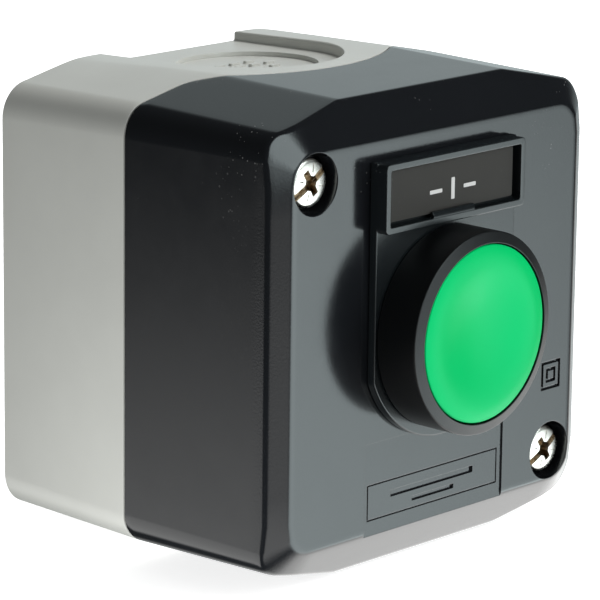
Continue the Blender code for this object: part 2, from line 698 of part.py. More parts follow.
# ---------------------------------------------------------------- button head
def head_bezel():
    rear = HOLDER_FRONT + FLAT_GAP
    floor = rear + 1.4 * MM
    bore = PLUNGER_R + ROUND_GAP
    profile = [
        (STEM_R + ROUND_GAP, BARREL_REAR),
        (BARREL_R - 0.4 * MM, BARREL_REAR),
        (BARREL_R, BARREL_REAR + 0.4 * MM),
        (BARREL_R, rear),
        (GROOVE_R[0], rear),
        (GROOVE_R[0], rear + 0.8 * MM),
        (GROOVE_R[1], rear + 0.8 * MM),
        (GROOVE_R[1], rear),
        (BEZEL_R - 0.2 * MM, rear),
        (BEZEL_R, rear + 0.2 * MM),
        (BEZEL_R, BEZEL_FRONT - 0.2 * MM),
        (BEZEL_R - 0.07 * MM, BEZEL_FRONT - 0.05 * MM),
        (BEZEL_R - 0.22 * MM, BEZEL_FRONT + 0.06 * MM),
        (CAP_R + 0.37 * MM, BEZEL_CREST),
        (CAP_R + 0.2 * MM, BEZEL_CREST - 0.12 * MM),
        (CAP_R + 0.2 * MM, floor),
        (bore, floor),
        (bore, BARREL_REAR + 1.8 * MM),
        (STEM_R + ROUND_GAP, BARREL_REAR + 1.8 * MM),
    ]
    bezel = turned("head_bezel", profile, "black")
    key_z = (BARREL_R - 0.6 * MM, KEY_TOP)
    join(bezel, box("bezel_key", (-KEY_HALF, KEY_HALF), (DEPTH - 2.6 * MM, rear + 0.1 * MM), key_z))
    return bezel


def ring_of(name, inner, outer, depth, colour, steps=ROUND_STEPS):
    points = [(outer, depth[1]), (outer, depth[0]), (inner, depth[0]), (inner, depth[1])]
    return turned(name, points, colour, steps=steps)


def fixing_nut():
    inner, outer = BARREL_R + ROUND_GAP, 15.2 * MM
    depth = (46.0 * MM, DEPTH - FRONT_WALL - FLAT_GAP)
    nut = ring_of("fixing_nut", inner, outer, depth, "black")
    count = 8
    notches = []
    for i in range(count):
        angle = 2 * math.pi * (i + 0.5) / count
        spot = ((outer + 0.6 * MM) * math.cos(angle), (outer + 0.6 * MM) * math.sin(angle))
        span = (depth[0] - 1 * MM, depth[1] - 1.5 * MM)
        notches.append(turned_box(f"notch_{i}", (3 * MM, 4 * MM), span, spot, angle))
    cut(nut, merge_cutters("nut_notches", notches))
    return nut


def button_cap():
    """A dished face that falls a little towards a tight rounded edge, and a stud behind it."""
    centre = CAP_PEAK - CAP_DISH
    profile = []
    steps = 7
    for i in range(steps + 1):
        share = i / steps
        profile.append((CAP_PEAK_R * share, centre + CAP_DISH * (share**2) * (1.5 - 0.5 * share**4)))
    edge_steps = 3
    for i in range(edge_steps + 1):
        angle = math.pi / 2 * i / edge_steps
        drop = CAP_FALL + CAP_EDGE * (1 - math.cos(angle))
        profile.append((CAP_R - CAP_EDGE * (1 - math.sin(angle)), CAP_PEAK - drop))
    stud_r, stud_rear = 3.0 * MM, 58.6 * MM
    profile += [(CAP_R, CAP_REAR), (stud_r, CAP_REAR), (stud_r, stud_rear), (0.0, stud_rear)]
    return turned("button_cap", profile, "green")


def button_plunger():
    head_front, head_rear = CAP_REAR - FLAT_GAP, 57.2 * MM
    socket_r, socket_floor = 3.3 * MM, 58.3 * MM
    profile = [
        (0.0, socket_floor),
        (socket_r, socket_floor),
        (socket_r, head_front),
        (PLUNGER_R, head_front),
        (PLUNGER_R, head_rear),
        (STEM_R, head_rear),
        (STEM_R, STEM_REAR + 0.6 * MM),
        (STEM_R - 0.6 * MM, STEM_REAR),
        (0.0, STEM_REAR),
    ]
    return turned("button_plunger", profile, "white")


def button_head():
    head_bezel()
    rear = HOLDER_FRONT + FLAT_GAP
    gasket_r = (GROOVE_R[0] + 0.15 * MM, GROOVE_R[1] - 0.15 * MM)
    ring_of("head_gasket", *gasket_r, (rear - 0.1 * MM, rear + 0.6 * MM), "rubber")
    floor = rear + 1.4 * MM
    ring_of("head_seal_ring", 9.8 * MM, 12.6 * MM, (floor + FLAT_GAP, floor + 0.5 * MM), "rubber")
    fixing_nut()
    button_cap()
    button_plunger()
    seat = BARREL_REAR + 1.8 * MM
    spring("return_spring", 7.2 * MM, 0.45 * MM, (seat + FLAT_GAP, 57.2 * MM - FLAT_GAP), 5, "steel")


# ---------------------------------------------------------------- contact block
def contact_body():
    half_w, half_h = BLOCK_HALF
    rear, front = BLOCK_DEPTHS
    inner_w, inner_h = half_w - BLOCK_WALL, half_h - BLOCK_WALL
    floor = rear + 1.5 * MM
    sill = 16.5 * MM
    body = box("contact_body", (-half_w, half_w), (rear, front), (-half_h, half_h), "black")
    across = (-inner_w, inner_w)
    open_front = front + 3 * MM
    cut(body, box("body_middle", across, (floor, open_front), (-CHAMBER_HALF, CHAMBER_HALF)))
    cut(body, box("body_upper", across, (sill, open_front), (-inner_h, inner_h)))
    for side in (1, -1):
        end_z = tuple(sorted((side * (CHAMBER_HALF + 1 * MM), side * inner_h)))
        cut(body, box(f"body_end_{side}", across, (floor + 0.01 * MM, open_front), end_z))
        wire_z = tuple(sorted((side * (inner_h - 1 * MM), side * (half_h + 1 * MM))))
        cut(body, box(f"wire_way_{side}", (-3.6 * MM, 3.6 * MM), (18.6 * MM, open_front), wire_z))
        hook_z = tuple(sorted((side * (half_h - 0.9 * MM), side * (half_h + 1 * MM))))
        cut(body, box(f"hook_way_{side}", (-4.4 * MM, 4.4 * MM), (5.9 * MM, 7.9 * MM), hook_z))
    return body


def contact_cover():
    half_w, half_h = BLOCK_HALF
    cover = box("contact_cover", (-half_w, half_w), COVER_DEPTHS, (-half_h, half_h), "black")
    through = (COVER_DEPTHS[0] - 2 * MM, COVER_DEPTHS[1] + 2 * MM)
    cut(cover, rod("plunger_way", 3.4 * MM, through, steps=32))
    for side in (1, -1):
        cut(cover, rod(f"driver_way_{side}", 3.5 * MM, through, (0.0, side * TERMINAL_Z), steps=32))
    return cover


def contact_plunger():
    sides, depth, height = (-4.2 * MM, 4.2 * MM), (11.5 * MM, 23.0 * MM), (-2.9 * MM, 2.9 * MM)
    block = box("contact_plunger", sides, depth, height, "contact_green")
    join(block, rod("contact_stem", 2.95 * MM, (22.0 * MM, STEM_REAR - ROUND_GAP), steps=32))
    cut(block, box("bridge_window", (-2.8 * MM, 2.8 * MM), (12.7 * MM, 17.2 * MM), (-9 * MM, 9 * MM)))
    return block


def contact_bridge():
    sides, depth, height = (-2.4 * MM, 2.4 * MM), (13.0 * MM, 13.8 * MM), (-6.6 * MM, 6.6 * MM)
    bridge = box("contact_bridge", sides, depth, height, "brass")
    for side in (1, -1):
        at = (0.0, side * TIP_Z)
        join(bridge, rod(f"moving_tip_{side}", TIP_R, (12.1 * MM, 13.2 * MM), at, steps=16))
    return bridge


def terminal(side):
    """One end of the circuit: the fixed contact, its clamp and its screw."""
    where = "upper" if side > 0 else "lower"
    at = (0.0, side * TERMINAL_Z)

    def span(a, b):
        return tuple(sorted((side * a, side * b)))

    fixed_contact(where, side, span)
    clamp_x, clamp_depth = (-3.0 * MM, 3.0 * MM), (18.1 * MM, 18.9 * MM)
    clamp = box(f"terminal_clamp_{where}", clamp_x, clamp_depth, span(10.5 * MM, 15.6 * MM), "steel")
    cut(clamp, rod(f"clamp_hole_{where}", TERMINAL_HOLE_R, (17 * MM, 21 * MM), at, steps=20))
    shank, head_rear, head_front = 1.6 * MM, 19.2 * MM, 21.6 * MM
    profile = [
        (0.0, head_front),
        (2.5 * MM, head_front),
        (2.9 * MM, head_front - 0.4 * MM),
        (2.9 * MM, head_rear),
        (shank, head_rear),
        (shank, 12.0 * MM),
        (shank - 0.5 * MM, 11.5 * MM),
        (0.0, 11.5 * MM),
    ]
    screw = turned(f"terminal_screw_{where}", profile, "steel", at, steps=SMALL_STEPS)
    deep = (head_front - 1.1 * MM, head_front + 1 * MM)
    cut(screw, turned_box(f"{where}_driver_slot", (8 * MM, 0.9 * MM), deep, at, math.radians(20)))


def fixed_contact(where, side, span):
    """A strip bent twice: a foot with the contact tip, a riser and a tail under the screw."""
    thick = 0.8 * MM
    foot, tail = 7.4 * MM, 17.1 * MM
    half = 2.5 * MM
    bend = 7.6 * MM
    # the riser is a hair smaller than the foot and the tail, so that no faces coincide
    hair = 0.01 * MM
    strip_x = (-half, half)
    foot_z, tail_z = span(3.4 * MM, bend + thick), span(bend + hair, 16.0 * MM)
    strip = box(f"fixed_contact_{where}", strip_x, (foot, foot + thick), foot_z, "brass")
    riser_x, riser_depth = (-half + hair, half - hair), (foot + hair, tail + thick - hair)
    join(strip, box(f"riser_{where}", riser_x, riser_depth, span(bend, bend + thick - hair)))
    join(strip, box(f"tail_{where}", strip_x, (tail, tail + thick), tail_z))
    tip_at = (0.0, side * TIP_Z)
    join(strip, rod(f"fixed_tip_{where}", TIP_R, (foot + thick / 2, 9.1 * MM), tip_at, steps=16))
    hole_at, through = (0.0, side * TERMINAL_Z), (tail - 2 * MM, tail + 3 * MM)
    cut(strip, rod(f"tail_hole_{where}", TERMINAL_HOLE_R, through, hole_at, steps=20))


def contact_block():
    contact_body()
    contact_cover()
    contact_plunger()
    contact_bridge()
    for side in (1, -1):
        terminal(side)
    return_span = (BLOCK_DEPTHS[0] + 1.5 * MM + FLAT_GAP, 11.5 * MM - FLAT_GAP)
    bridge_span = (13.8 * MM + FLAT_GAP, 17.2 * MM - FLAT_GAP)
    spring("contact_return_spring", 2.0 * MM, 0.25 * MM, return_span, 4, "steel")
    spring("bridge_spring", 1.45 * MM, 0.2 * MM, bridge_span, 3, "steel")


# ---------------------------------------------------------------- the station
def main():
    rear_base()
    front_lid()
    lid_gasket()
    for where in LID_SCREWS:
        lid_screw(where)
        screw_washer(where)
    legend_holder()
    legend_plate()
    button_head()
    contact_block()
    for obj in PARTS.objects:
        smooth(obj)


main()
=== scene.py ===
"""The looks of a wall-mounted control station with one flush green push button.

Lengths are metres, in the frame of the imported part: +X is the viewer's right, -Y points out of the
wall and +Z is up. A depth is a distance in front of the wall, so a point at depth d has y = -d.
"""
import json
import math

import bmesh
import bpy
from mathutils import Matrix, Vector


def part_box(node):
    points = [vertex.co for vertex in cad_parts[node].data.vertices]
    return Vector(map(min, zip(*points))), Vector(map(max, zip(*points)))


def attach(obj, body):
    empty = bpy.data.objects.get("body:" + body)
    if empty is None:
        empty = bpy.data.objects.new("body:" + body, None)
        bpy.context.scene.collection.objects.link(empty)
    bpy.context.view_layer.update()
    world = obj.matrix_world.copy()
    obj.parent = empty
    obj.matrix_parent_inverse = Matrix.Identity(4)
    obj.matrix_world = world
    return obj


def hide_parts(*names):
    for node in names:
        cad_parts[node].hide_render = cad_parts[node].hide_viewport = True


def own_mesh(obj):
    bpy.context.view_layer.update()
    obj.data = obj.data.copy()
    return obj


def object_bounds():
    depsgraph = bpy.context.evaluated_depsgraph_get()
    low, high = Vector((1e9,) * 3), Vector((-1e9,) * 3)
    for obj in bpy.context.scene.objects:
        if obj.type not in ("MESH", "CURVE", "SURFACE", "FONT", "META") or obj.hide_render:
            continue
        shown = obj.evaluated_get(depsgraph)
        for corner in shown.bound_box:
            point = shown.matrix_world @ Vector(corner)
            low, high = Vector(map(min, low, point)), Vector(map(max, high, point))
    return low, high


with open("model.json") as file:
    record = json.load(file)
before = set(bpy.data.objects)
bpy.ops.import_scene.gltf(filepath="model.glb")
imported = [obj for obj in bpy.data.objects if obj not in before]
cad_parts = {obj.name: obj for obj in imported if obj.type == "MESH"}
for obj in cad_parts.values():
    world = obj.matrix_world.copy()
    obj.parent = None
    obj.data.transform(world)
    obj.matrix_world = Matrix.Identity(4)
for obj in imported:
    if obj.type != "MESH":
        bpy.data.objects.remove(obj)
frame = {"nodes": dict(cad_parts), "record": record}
CAD_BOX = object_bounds()

MM = 0.001

# case: half width, half height, the ridge's distance from the middle, its softness, the corner radius
REAR_HALF = (33.75 * MM, 33.6 * MM, 19.4 * MM, 2.0 * MM, 5.1 * MM)
SEAM_HALF = (34.0 * MM, 34.55 * MM, 17.5 * MM, 0.35 * MM, 4.9 * MM)
FRONT_HALF = (33.35 * MM, 33.9 * MM, 17.5 * MM, 0.25 * MM, 3.9 * MM)
REAR_EDGE = 0.15 * MM
DEPTH = 54.0 * MM
SEAM_DEPTH = 25.06 * MM
SEAM_GAP = 0.22 * MM
SEAM_ARC_R = 31.0 * MM
SEAM_APEX = 33.8 * MM
SEAM_BLEND = 0.8 * MM
SEAM_SOFT = 0.14 * MM
ROOF_SLOPE = 0.211
FIELD_HALF = (30.35 * MM, 28.3 * MM)
FIELD_R = 4.2 * MM
CHAMFER_SLOPE = 0.629
WALL = 2.4 * MM
FRONT_WALL = 2.6 * MM
REAR_WALL = 2.5 * MM
TONGUE_INSET = 1.5 * MM
TONGUE_HIGH = 2.0 * MM
REBATE_INSET = 1.2 * MM
REBATE_DEEP = 3.6 * MM

# cable entry seats
SEAT_HALF = 14.1 * MM
SEAT_FLOOR = 32.2 * MM
SEAT_DRAFT = 0.025
SEAT_LIP = 0.45 * MM
ENTRY_DEPTH = 16.2 * MM
ENTRY_R = 10.4 * MM
ENTRY_SINK = 0.7 * MM

SCREW_TURN = math.radians(31.0)
SCREW_WELL_R = 4.32 * MM
HOLE_R = 11.2 * MM

LEGEND_X = (-13.6 * MM, 13.0 * MM)
LEGEND_Z = (16.95 * MM, 24.2 * MM)
LEGEND_FRONT = 56.25 * MM
HOLDER_HALF = 14.87 * MM
HOLDER_TOP = 25.4 * MM


# ---------------------------------------------------------------- mesh helpers
def new_object(name, mesh):
    obj = bpy.data.objects.new(name, mesh)
    bpy.context.scene.collection.objects.link(obj)
    return obj


def from_bmesh(name, bm):
    bmesh.ops.recalc_face_normals(bm, faces=bm.faces)
    mesh = bpy.data.meshes.new(name)
    bm.to_mesh(mesh)
    bm.free()
    return new_object(name, mesh)


def bridge(bm, near, far):
    """Quads between two rings with the same number of points."""
    for i in range(len(near)):
        j = (i + 1) % len(near)
        bm.faces.new((near[i], near[j], far[j], far[i]))


def skin(name, rings):
    """Quads through rings of points; the first and last rings are capped."""
    bm = bmesh.new()
    loops = [[bm.verts.new(p) for p in ring] for ring in rings]
    for near, far in zip(loops, loops[1:]):
        bridge(bm, near, far)
    bm.faces.new(loops[0])
    bm.faces.new(loops[-1])
    return from_bmesh(name, bm)


def level(points, depth):
    """A ring of (x, z) points at one depth."""
    return [(x, -depth, z) for x, z in points]


def circle(at, radius, steps):
    """Points round a circle, as (x, z)."""
    angles = [2 * math.pi * i / steps for i in range(steps)]
    return [(at[0] + radius * math.cos(a), at[1] + radius * math.sin(a)) for a in angles]


def fillet(radius, steps):
    """Steps round a quarter circle: how far out it has come, and how far it is from its end."""
    for k in range(steps + 1):
        angle = math.pi / 2 * k / steps
        yield radius * (1 - math.cos(angle)), radius * (1 - math.sin(angle))


def box(name, x, depth, z):
    low = (x[0], -depth[1], z[0])
    high = (x[1], -depth[0], z[1])
    bm = bmesh.new()
    bmesh.ops.create_cube(bm, size=1.0)
    size = [b - a for a, b in zip(low, high)]
    middle = [(a + b) / 2 for a, b in zip(low, high)]
    bmesh.ops.transform(bm, matrix=Matrix.Translation(middle) @ Matrix.Diagonal((*size, 1)), verts=bm.verts)
    return from_bmesh(name, bm)


def lathe(name, profile, at=(0.0, 0.0), steps=128):
    """A turned shape about the line through (x, z), from (radius, depth) points.

    It is closed on itself, unless it starts and ends on the axis.
    """
    on_axis = profile[0][0] == 0.0 and profile[-1][0] == 0.0
    body = profile[1:-1] if on_axis else profile
    bm = bmesh.new()
    loops = [[bm.verts.new(p) for p in level(circle(at, r, steps), d)] for r, d in body]
    pairs = list(zip(loops, loops[1:]))
    if not on_axis:
        pairs.append((loops[-1], loops[0]))
    for near, far in pairs:
        bridge(bm, near, far)
    if on_axis:
        for loop, end in ((loops[0], profile[0]), (loops[-1], profile[-1])):
            tip = bm.verts.new((at[0], -end[1], at[1]))
            for i in range(steps):
                bm.faces.new((loop[i], loop[(i + 1) % steps], tip))
    return from_bmesh(name, bm)


def rounded(points, radius, steps=4):
    """A (radius, depth) profile with each marked corner rounded.

    Each point is (radius, depth) for a plain corner or (radius, depth, r) for its own rounding.
    """
    count = len(points)
    result = []
    for i, point in enumerate(points):
        here = Vector(point[:2])
        r = point[2] if len(point) > 2 else radius
        ends = i in (0, count - 1)
        if r == 0 or (ends and point[0] == 0.0):
            result.append(tuple(here))
            continue
        before = Vector(points[i - 1][:2]) - here
        after = Vector(points[(i + 1) % count][:2]) - here
        reach = min(r, before.length * 0.45, after.length * 0.45)
        start, end = here + before.normalized() * reach, here + after.normalized() * reach
        for k in range(steps + 1):
            t = k / steps
            result.append(tuple(start * (1 - t) ** 2 + here * 2 * t * (1 - t) + end * t**2))
    return result


def rod(name, radius, depth, at, flare=0.0, face=None, steps=64):
    """A round cutter between two depths; where it passes a face, its end flares to round the rim."""
    profile = [(radius, depth[0])]
    if flare:
        profile += [(radius + out, face - back) for out, back in fillet(flare, 4)]
    profile.append((radius + flare, depth[1]))
    return skin(name, [level(circle(at, r, steps), d) for r, d in profile])


def combine(obj, other, operation="DIFFERENCE"):
    """A Boolean, applied at once; the other mesh is used up."""
    modifier = obj.modifiers.new("boolean", "BOOLEAN")
    modifier.operation = operation
    modifier.solver = "EXACT"
    modifier.object = other
    bake(obj)
    bpy.data.objects.remove(other, do_unlink=True)
    return obj


def bake(obj):
    bpy.context.view_layer.update()
    evaluated = obj.evaluated_get(bpy.context.evaluated_depsgraph_get())
    mesh = bpy.data.meshes.new_from_object(evaluated)
    obj.modifiers.clear()
    obj.data = mesh
    return obj


def merged(name, objects):
    """Meshes that don't touch, as one mesh."""
    bm = bmesh.new()
    for obj in objects:
        bm.from_mesh(obj.data)
        bpy.data.objects.remove(obj, do_unlink=True)
    return from_bmesh(name, bm)


def shade(obj, angle=40):
    obj.data.shade_smooth()
    obj.data.set_sharp_from_angle(angle=math.radians(angle))
    weighted = obj.modifiers.new("normals", "WEIGHTED_NORMAL")
    weighted.keep_sharp = True
    weighted.weight = 60
    return bake(obj)


def give(obj, material, slot, body, *nodes):
    """Finish a piece: its material, the body it rides on and the nodes it stands for. The slot is not used.
    """
    obj.data.materials.clear()
    obj.data.materials.append(material)
    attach(obj, body)
    if nodes:
        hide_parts(*nodes)
    return obj


# ---------------------------------------------------------------- materials
PLASTIC_IOR = 1.58


class Nodes:
    """A small wrapper for building a material's node tree."""

    def __init__(self, name):
        self.material = bpy.data.materials.new(name)
        self.material.use_nodes = True
        self.tree = self.material.node_tree
        self.shader = self.tree.nodes["Principled BSDF"]
        self.coords = self.add("ShaderNodeTexCoord").outputs["Object"]

    def add(self, kind, **settings):
        node = self.tree.nodes.new(kind)
        for key, value in settings.items():
            setattr(node, key, value)
        return node

    def link(self, source, target):
        self.tree.links.new(source, target)

    def stretched(self, scale):
        mapping = self.add("ShaderNodeMapping")
        mapping.inputs["Scale"].default_value = scale
        self.link(self.coords, mapping.inputs["Vector"])
        return mapping.outputs["Vector"]

    def noise(self, scale, detail=3.0, roughness=0.5, vector=None):
        node = self.add("ShaderNodeTexNoise")
        node.inputs["Scale"].default_value = scale
        node.inputs["Detail"].default_value = detail
        node.inputs["Roughness"].default_value = roughness
        self.link(vector or self.coords, node.inputs["Vector"])
        return node.outputs["Fac"]

    def specks(self, scale, size):
        """Scattered dots: 1 inside a dot and 0 elsewhere. About a third of the cells have one."""
        cells = self.add("ShaderNodeTexVoronoi")
        cells.inputs["Scale"].default_value = scale
        self.link(self.coords, cells.inputs["Vector"])
        near = self.ramp(cells.outputs["Distance"], (size, size * 1.5), ((1, 1, 1), (0, 0, 0)))
        pick = self.add("ShaderNodeSeparateColor")
        self.link(cells.outputs["Color"], pick.inputs["Color"])
        some = self.ramp(pick.outputs["Red"], (0.70, 0.71))
        return self.math("MULTIPLY", near, some)

    def ramp(self, source, places, colours=((0, 0, 0), (1, 1, 1))):
        node = self.add("ShaderNodeValToRGB")
        stops = node.color_ramp.elements
        while len(stops) < len(places):
            stops.new(0.5)
        for stop, place, colour in zip(stops, places, colours):
            stop.position = place
            stop.color = (*colour, 1)
        self.link(source, node.inputs["Fac"])
        return node.outputs["Color"]

    def math(self, operation, a, b):
        node = self.add("ShaderNodeMath", operation=operation)
        for socket, value in zip(node.inputs, (a, b)):
            if isinstance(value, (int, float)):
                socket.default_value = value
            else:
                self.link(value, socket)
        return node.outputs["Value"]

    def mix(self, share, a, b):
        node = self.add("ShaderNodeMix", data_type="RGBA")
        sockets = [s for s in node.inputs if s.enabled]
        for socket, value in zip(sockets, (share, a, b)):
            if isinstance(value, (int, float)):
                socket.default_value = value
            elif isinstance(value, tuple):
                socket.default_value = (*value, 1)
            else:
                self.link(value, socket)
        return [s for s in node.outputs if s.enabled][0]

    def spread(self, source, low, high):
        node = self.add("ShaderNodeMapRange")
        node.inputs["To Min"].default_value = low
        node.inputs["To Max"].default_value = high
        self.link(source, node.inputs["Value"])
        return node.outputs["Result"]

    def bump(self, height, distance, strength=1.0, under=None):
        node = self.add("ShaderNodeBump")
        node.inputs["Distance"].default_value = distance
        node.inputs["Strength"].default_value = strength
        self.link(height, node.inputs["Height"])
        if under is not None:
            self.link(under, node.inputs["Normal"])
        return node.outputs["Normal"]

    def axis(self, name, low, high):
        """Where a point lies between two places along an axis of the object, from 0 to 1."""
        parts = self.add("ShaderNodeSeparateXYZ")
        self.link(self.coords, parts.inputs[0])
        node = self.add("ShaderNodeMapRange")
        node.inputs["From Min"].default_value = low
        node.inputs["From Max"].default_value = high
        self.link(parts.outputs[name], node.inputs["Value"])
        return node.outputs["Result"]

    def edge(self, radius):
        node = self.add("ShaderNodeBevel", samples=6)
        node.inputs["Radius"].default_value = radius
        return node.outputs["Normal"]


def moulded(name, colour, roughness, grain=2600.0, grain_depth=0.004, dust=0.0, specular=0.5, edge=0.12,
            tint=None, chamfer_grain=None):
    """Moulded plastic: fine eroded grain, uneven gloss and faint dust. Edge and grain depths are in mm.

    With a chamfer grain, the sloping rim of the front is coarser than the face and the sides.
    """
    n = Nodes(name)
    tone = n.noise(45.0, 4.0, 0.6)
    deep = tuple(c * 0.90 for c in colour)
    pale = tuple(min(c * 1.07 + 0.001, 1.0) for c in colour)
    base = n.mix(tone, deep, pale)
    rough = n.spread(n.noise(160.0, 5.0, 0.65), roughness - 0.05, roughness + 0.06)
    if dust:
        dust_colour, scarce = (0.55, 0.55, 0.53), (0.05, 0.05, 0.05)
        patches = n.ramp(n.noise(70.0, 2.0, 0.5), (0.54, 0.66))
        high_up = n.ramp(n.axis("Z", 14 * MM, 33 * MM), (0.0, 1.0), (scarce, (1, 1, 1)))
        dots = n.math("MAXIMUM", n.specks(900.0, 0.10), n.specks(1500.0, 0.13))
        dots = n.math("MULTIPLY", n.math("MULTIPLY", dots, patches), n.math("MULTIPLY", high_up, dust))
        base = n.mix(dots, base, dust_colour)
    n.link(base, n.shader.inputs["Base Color"])
    n.link(rough, n.shader.inputs["Roughness"])
    n.shader.inputs["Specular IOR Level"].default_value = specular
    n.shader.inputs["IOR"].default_value = PLASTIC_IOR
    if tint:
        n.shader.inputs["Specular Tint"].default_value = (*tint, 1)
    fine = n.noise(grain, 4.0, 0.6)
    normal = n.bump(fine, grain_depth * MM, 1.0, n.edge(edge * MM) if edge else None)
    if chamfer_grain:
        # how much of the grain each place has, from the lid's side to its face
        side, rim, face = ((0.12,) * 3, (1.0,) * 3, (0.38,) * 3)
        place = n.axis("Y", -49 * MM, -54.5 * MM)
        share = n.ramp(place, (0.0, 0.3, 0.86, 0.91), (side, rim, rim, face))
        n.link(n.math("MULTIPLY", share, chamfer_grain * MM), normal.node.inputs["Distance"])
    n.link(normal, n.shader.inputs["Normal"])
    return n.material


def metal(name, colour, roughness, hollows=None):
    """Plated or drawn metal with fine marks; between two depths it darkens into its hollows with brown grime
    and painted shade.
    """
    stain, stain_share = (0.30, 0.22, 0.14), 0.35
    # brown grime with painted shade: the colours of the hollows, the deep one darkest
    grime_and_shade, deep_grime_and_shade = (0.30, 0.225, 0.15), (0.06, 0.042, 0.028)
    n = Nodes(name)
    marks = n.noise(1.0, 4.0, 0.6, n.stretched((400, 400, 400)))
    patch = n.ramp(n.noise(700.0, 4.0, 0.7), (0.50, 0.72))
    base = n.mix(n.math("MULTIPLY", patch, stain_share), colour, stain)
    # painted shade and grime: deeper in, the colour goes darker
    if hollows:
        deep = n.axis("Y", -hollows[0], -hollows[1])
        base = n.mix(deep, base, n.mix(patch, grime_and_shade, deep_grime_and_shade))
    n.link(base, n.shader.inputs["Base Color"])
    n.link(n.spread(marks, roughness - 0.06, roughness + 0.10), n.shader.inputs["Roughness"])
    n.shader.inputs["Metallic"].default_value = 1.0
    n.link(n.bump(marks, 0.006 * MM, 1.0, n.edge(0.06 * MM)), n.shader.inputs["Normal"])
    return n.material


def rubber(name):
    n = Nodes(name)
    n.link(n.mix(n.noise(300.0), (0.010, 0.010, 0.010), (0.024, 0.023, 0.022)), n.shader.inputs["Base Color"])
    n.link(n.spread(n.noise(900.0), 0.65, 0.85), n.shader.inputs["Roughness"])
    n.link(n.bump(n.noise(3000.0), 0.01 * MM), n.shader.inputs["Normal"])
    return n.material


LIGHT_GREY = moulded("light_grey_plastic", (0.63, 0.64, 0.60), 0.30, grain_depth=0.003, specular=0.4)
DARK_GREY = moulded("dark_grey_plastic", (0.0085, 0.0098, 0.0118), 0.14, grain=3200.0, dust=0.38,
                    chamfer_grain=0.012)
HOLDER = moulded("holder_plastic", (0.0085, 0.011, 0.0125), 0.24, dust=0.3)
LEGEND = moulded("legend_plastic", (0.047, 0.046, 0.043), 0.6, grain=4200.0, grain_depth=0.006, dust=0.5,
                 specular=0.1)
LEGEND_MARK = moulded("legend_mark", (0.80, 0.81, 0.80), 0.5, edge=0.03, specular=0.2)
BLACK = moulded("black_plastic", (0.0025, 0.0028, 0.0032), 0.40, grain=5200.0, grain_depth=0.02, dust=0.12,
                specular=0.35)
GREEN = moulded("green_plastic", (0.0, 0.72, 0.185), 0.24, grain_depth=0.002, edge=0.0, specular=0.2,
                tint=(0.02, 1.0, 0.7))
WHITE = moulded("white_plastic", (0.72, 0.72, 0.69), 0.35)
CONTACT_GREEN = moulded("contact_green_plastic", (0.03, 0.30, 0.11), 0.4)
RUBBER = rubber("black_rubber")
# the screw heads' recesses get painted shade and brown grime below their rims
NICKEL = metal("nickel_plate", (0.80, 0.76, 0.71), 0.26, hollows=(52.75 * MM, 52.35 * MM))
STEEL = metal("spring_steel", (0.56, 0.56, 0.57), 0.28)
BRASS = metal("contact_brass", (0.76, 0.56, 0.27), 0.30)

SLOT_MATERIALS = {
    "light_grey_shell": LIGHT_GREY,
    "dark_grey_shell": DARK_GREY,
    "holder_plastic": HOLDER,
    "legend_insert": LEGEND,
    "black_plastic": BLACK,
    "green_button": GREEN,
    "white_plastic": WHITE,
    "rubber": RUBBER,
    "nickel_steel": NICKEL,
    "spring_steel": STEEL,
    "brass_contact": BRASS,
    "green_contact": CONTACT_GREEN,
}


def paint_cad_nodes():
    for part in frame["record"]["subparts"]:
        node = frame["nodes"][part["node"]]
        node.data.materials.clear()
        node.data.materials.append(SLOT_MATERIALS[part["material_slot"]])


# ---------------------------------------------------------------- case outlines
def mirrored(quadrant):
    """A whole outline from its upper right quarter, which runs from the side to the top."""
    upper = quadrant + [(-x, z) for x, z in reversed(quadrant)]
    return upper + [(-x, -z) for x, z in upper]


def case_outline(half, inset=0.0):
    """The case's section as (x, z) points, dense where the seam swells and at the ridges."""
    half_w, half_h, ridge_x, crest, corner_r = half
    tilt = math.atan(ROOF_SLOPE)
    centre_x = half_w - corner_r
    centre_z = half_h - ROOF_SLOPE * (centre_x - ridge_x) - corner_r / math.cos(tilt)
    least_r = 0.4 * MM
    radius = max(corner_r - inset, least_r)
    shift = inset - (corner_r - radius)
    ridge = ridge_x - inset * (1 / math.cos(tilt) - 1) / ROOF_SLOPE

    def roof(x):
        return x, half_h - inset - ROOF_SLOPE * soft_step(x - ridge, crest)

    quarter = []
    side_steps, steps = 7, 16
    for i in range(1, side_steps):
        quarter.append((centre_x + radius - shift, (centre_z - shift) * i / side_steps))
    for i in range(steps + 1):
        angle = (math.pi / 2 - tilt) * i / steps
        x = centre_x + radius * math.cos(angle) - shift
        quarter.append((x, centre_z + radius * math.sin(angle) - shift))
    start = quarter[-1][0]
    for share in (0.08, 0.25, 0.4, 0.5, 0.6, 0.7, 0.8, 0.9, 0.96, 1.0):
        quarter.append(roof(start + (ridge - start) * share))
    roof_steps = 26
    for share in (0.02, *[k / roof_steps for k in range(1, roof_steps)]):
        quarter.append(roof(ridge * (1 - share)))
    return mirrored(quarter)


def seam_depth(x):
    """Where the seam lies at a distance from the middle: an arc over the entry, flat beside it."""
    arc = SEAM_APEX - SEAM_ARC_R + math.sqrt(max(SEAM_ARC_R**2 - x**2, 0.0))
    return (arc + SEAM_DEPTH + math.hypot(arc - SEAM_DEPTH, SEAM_BLEND)) / 2


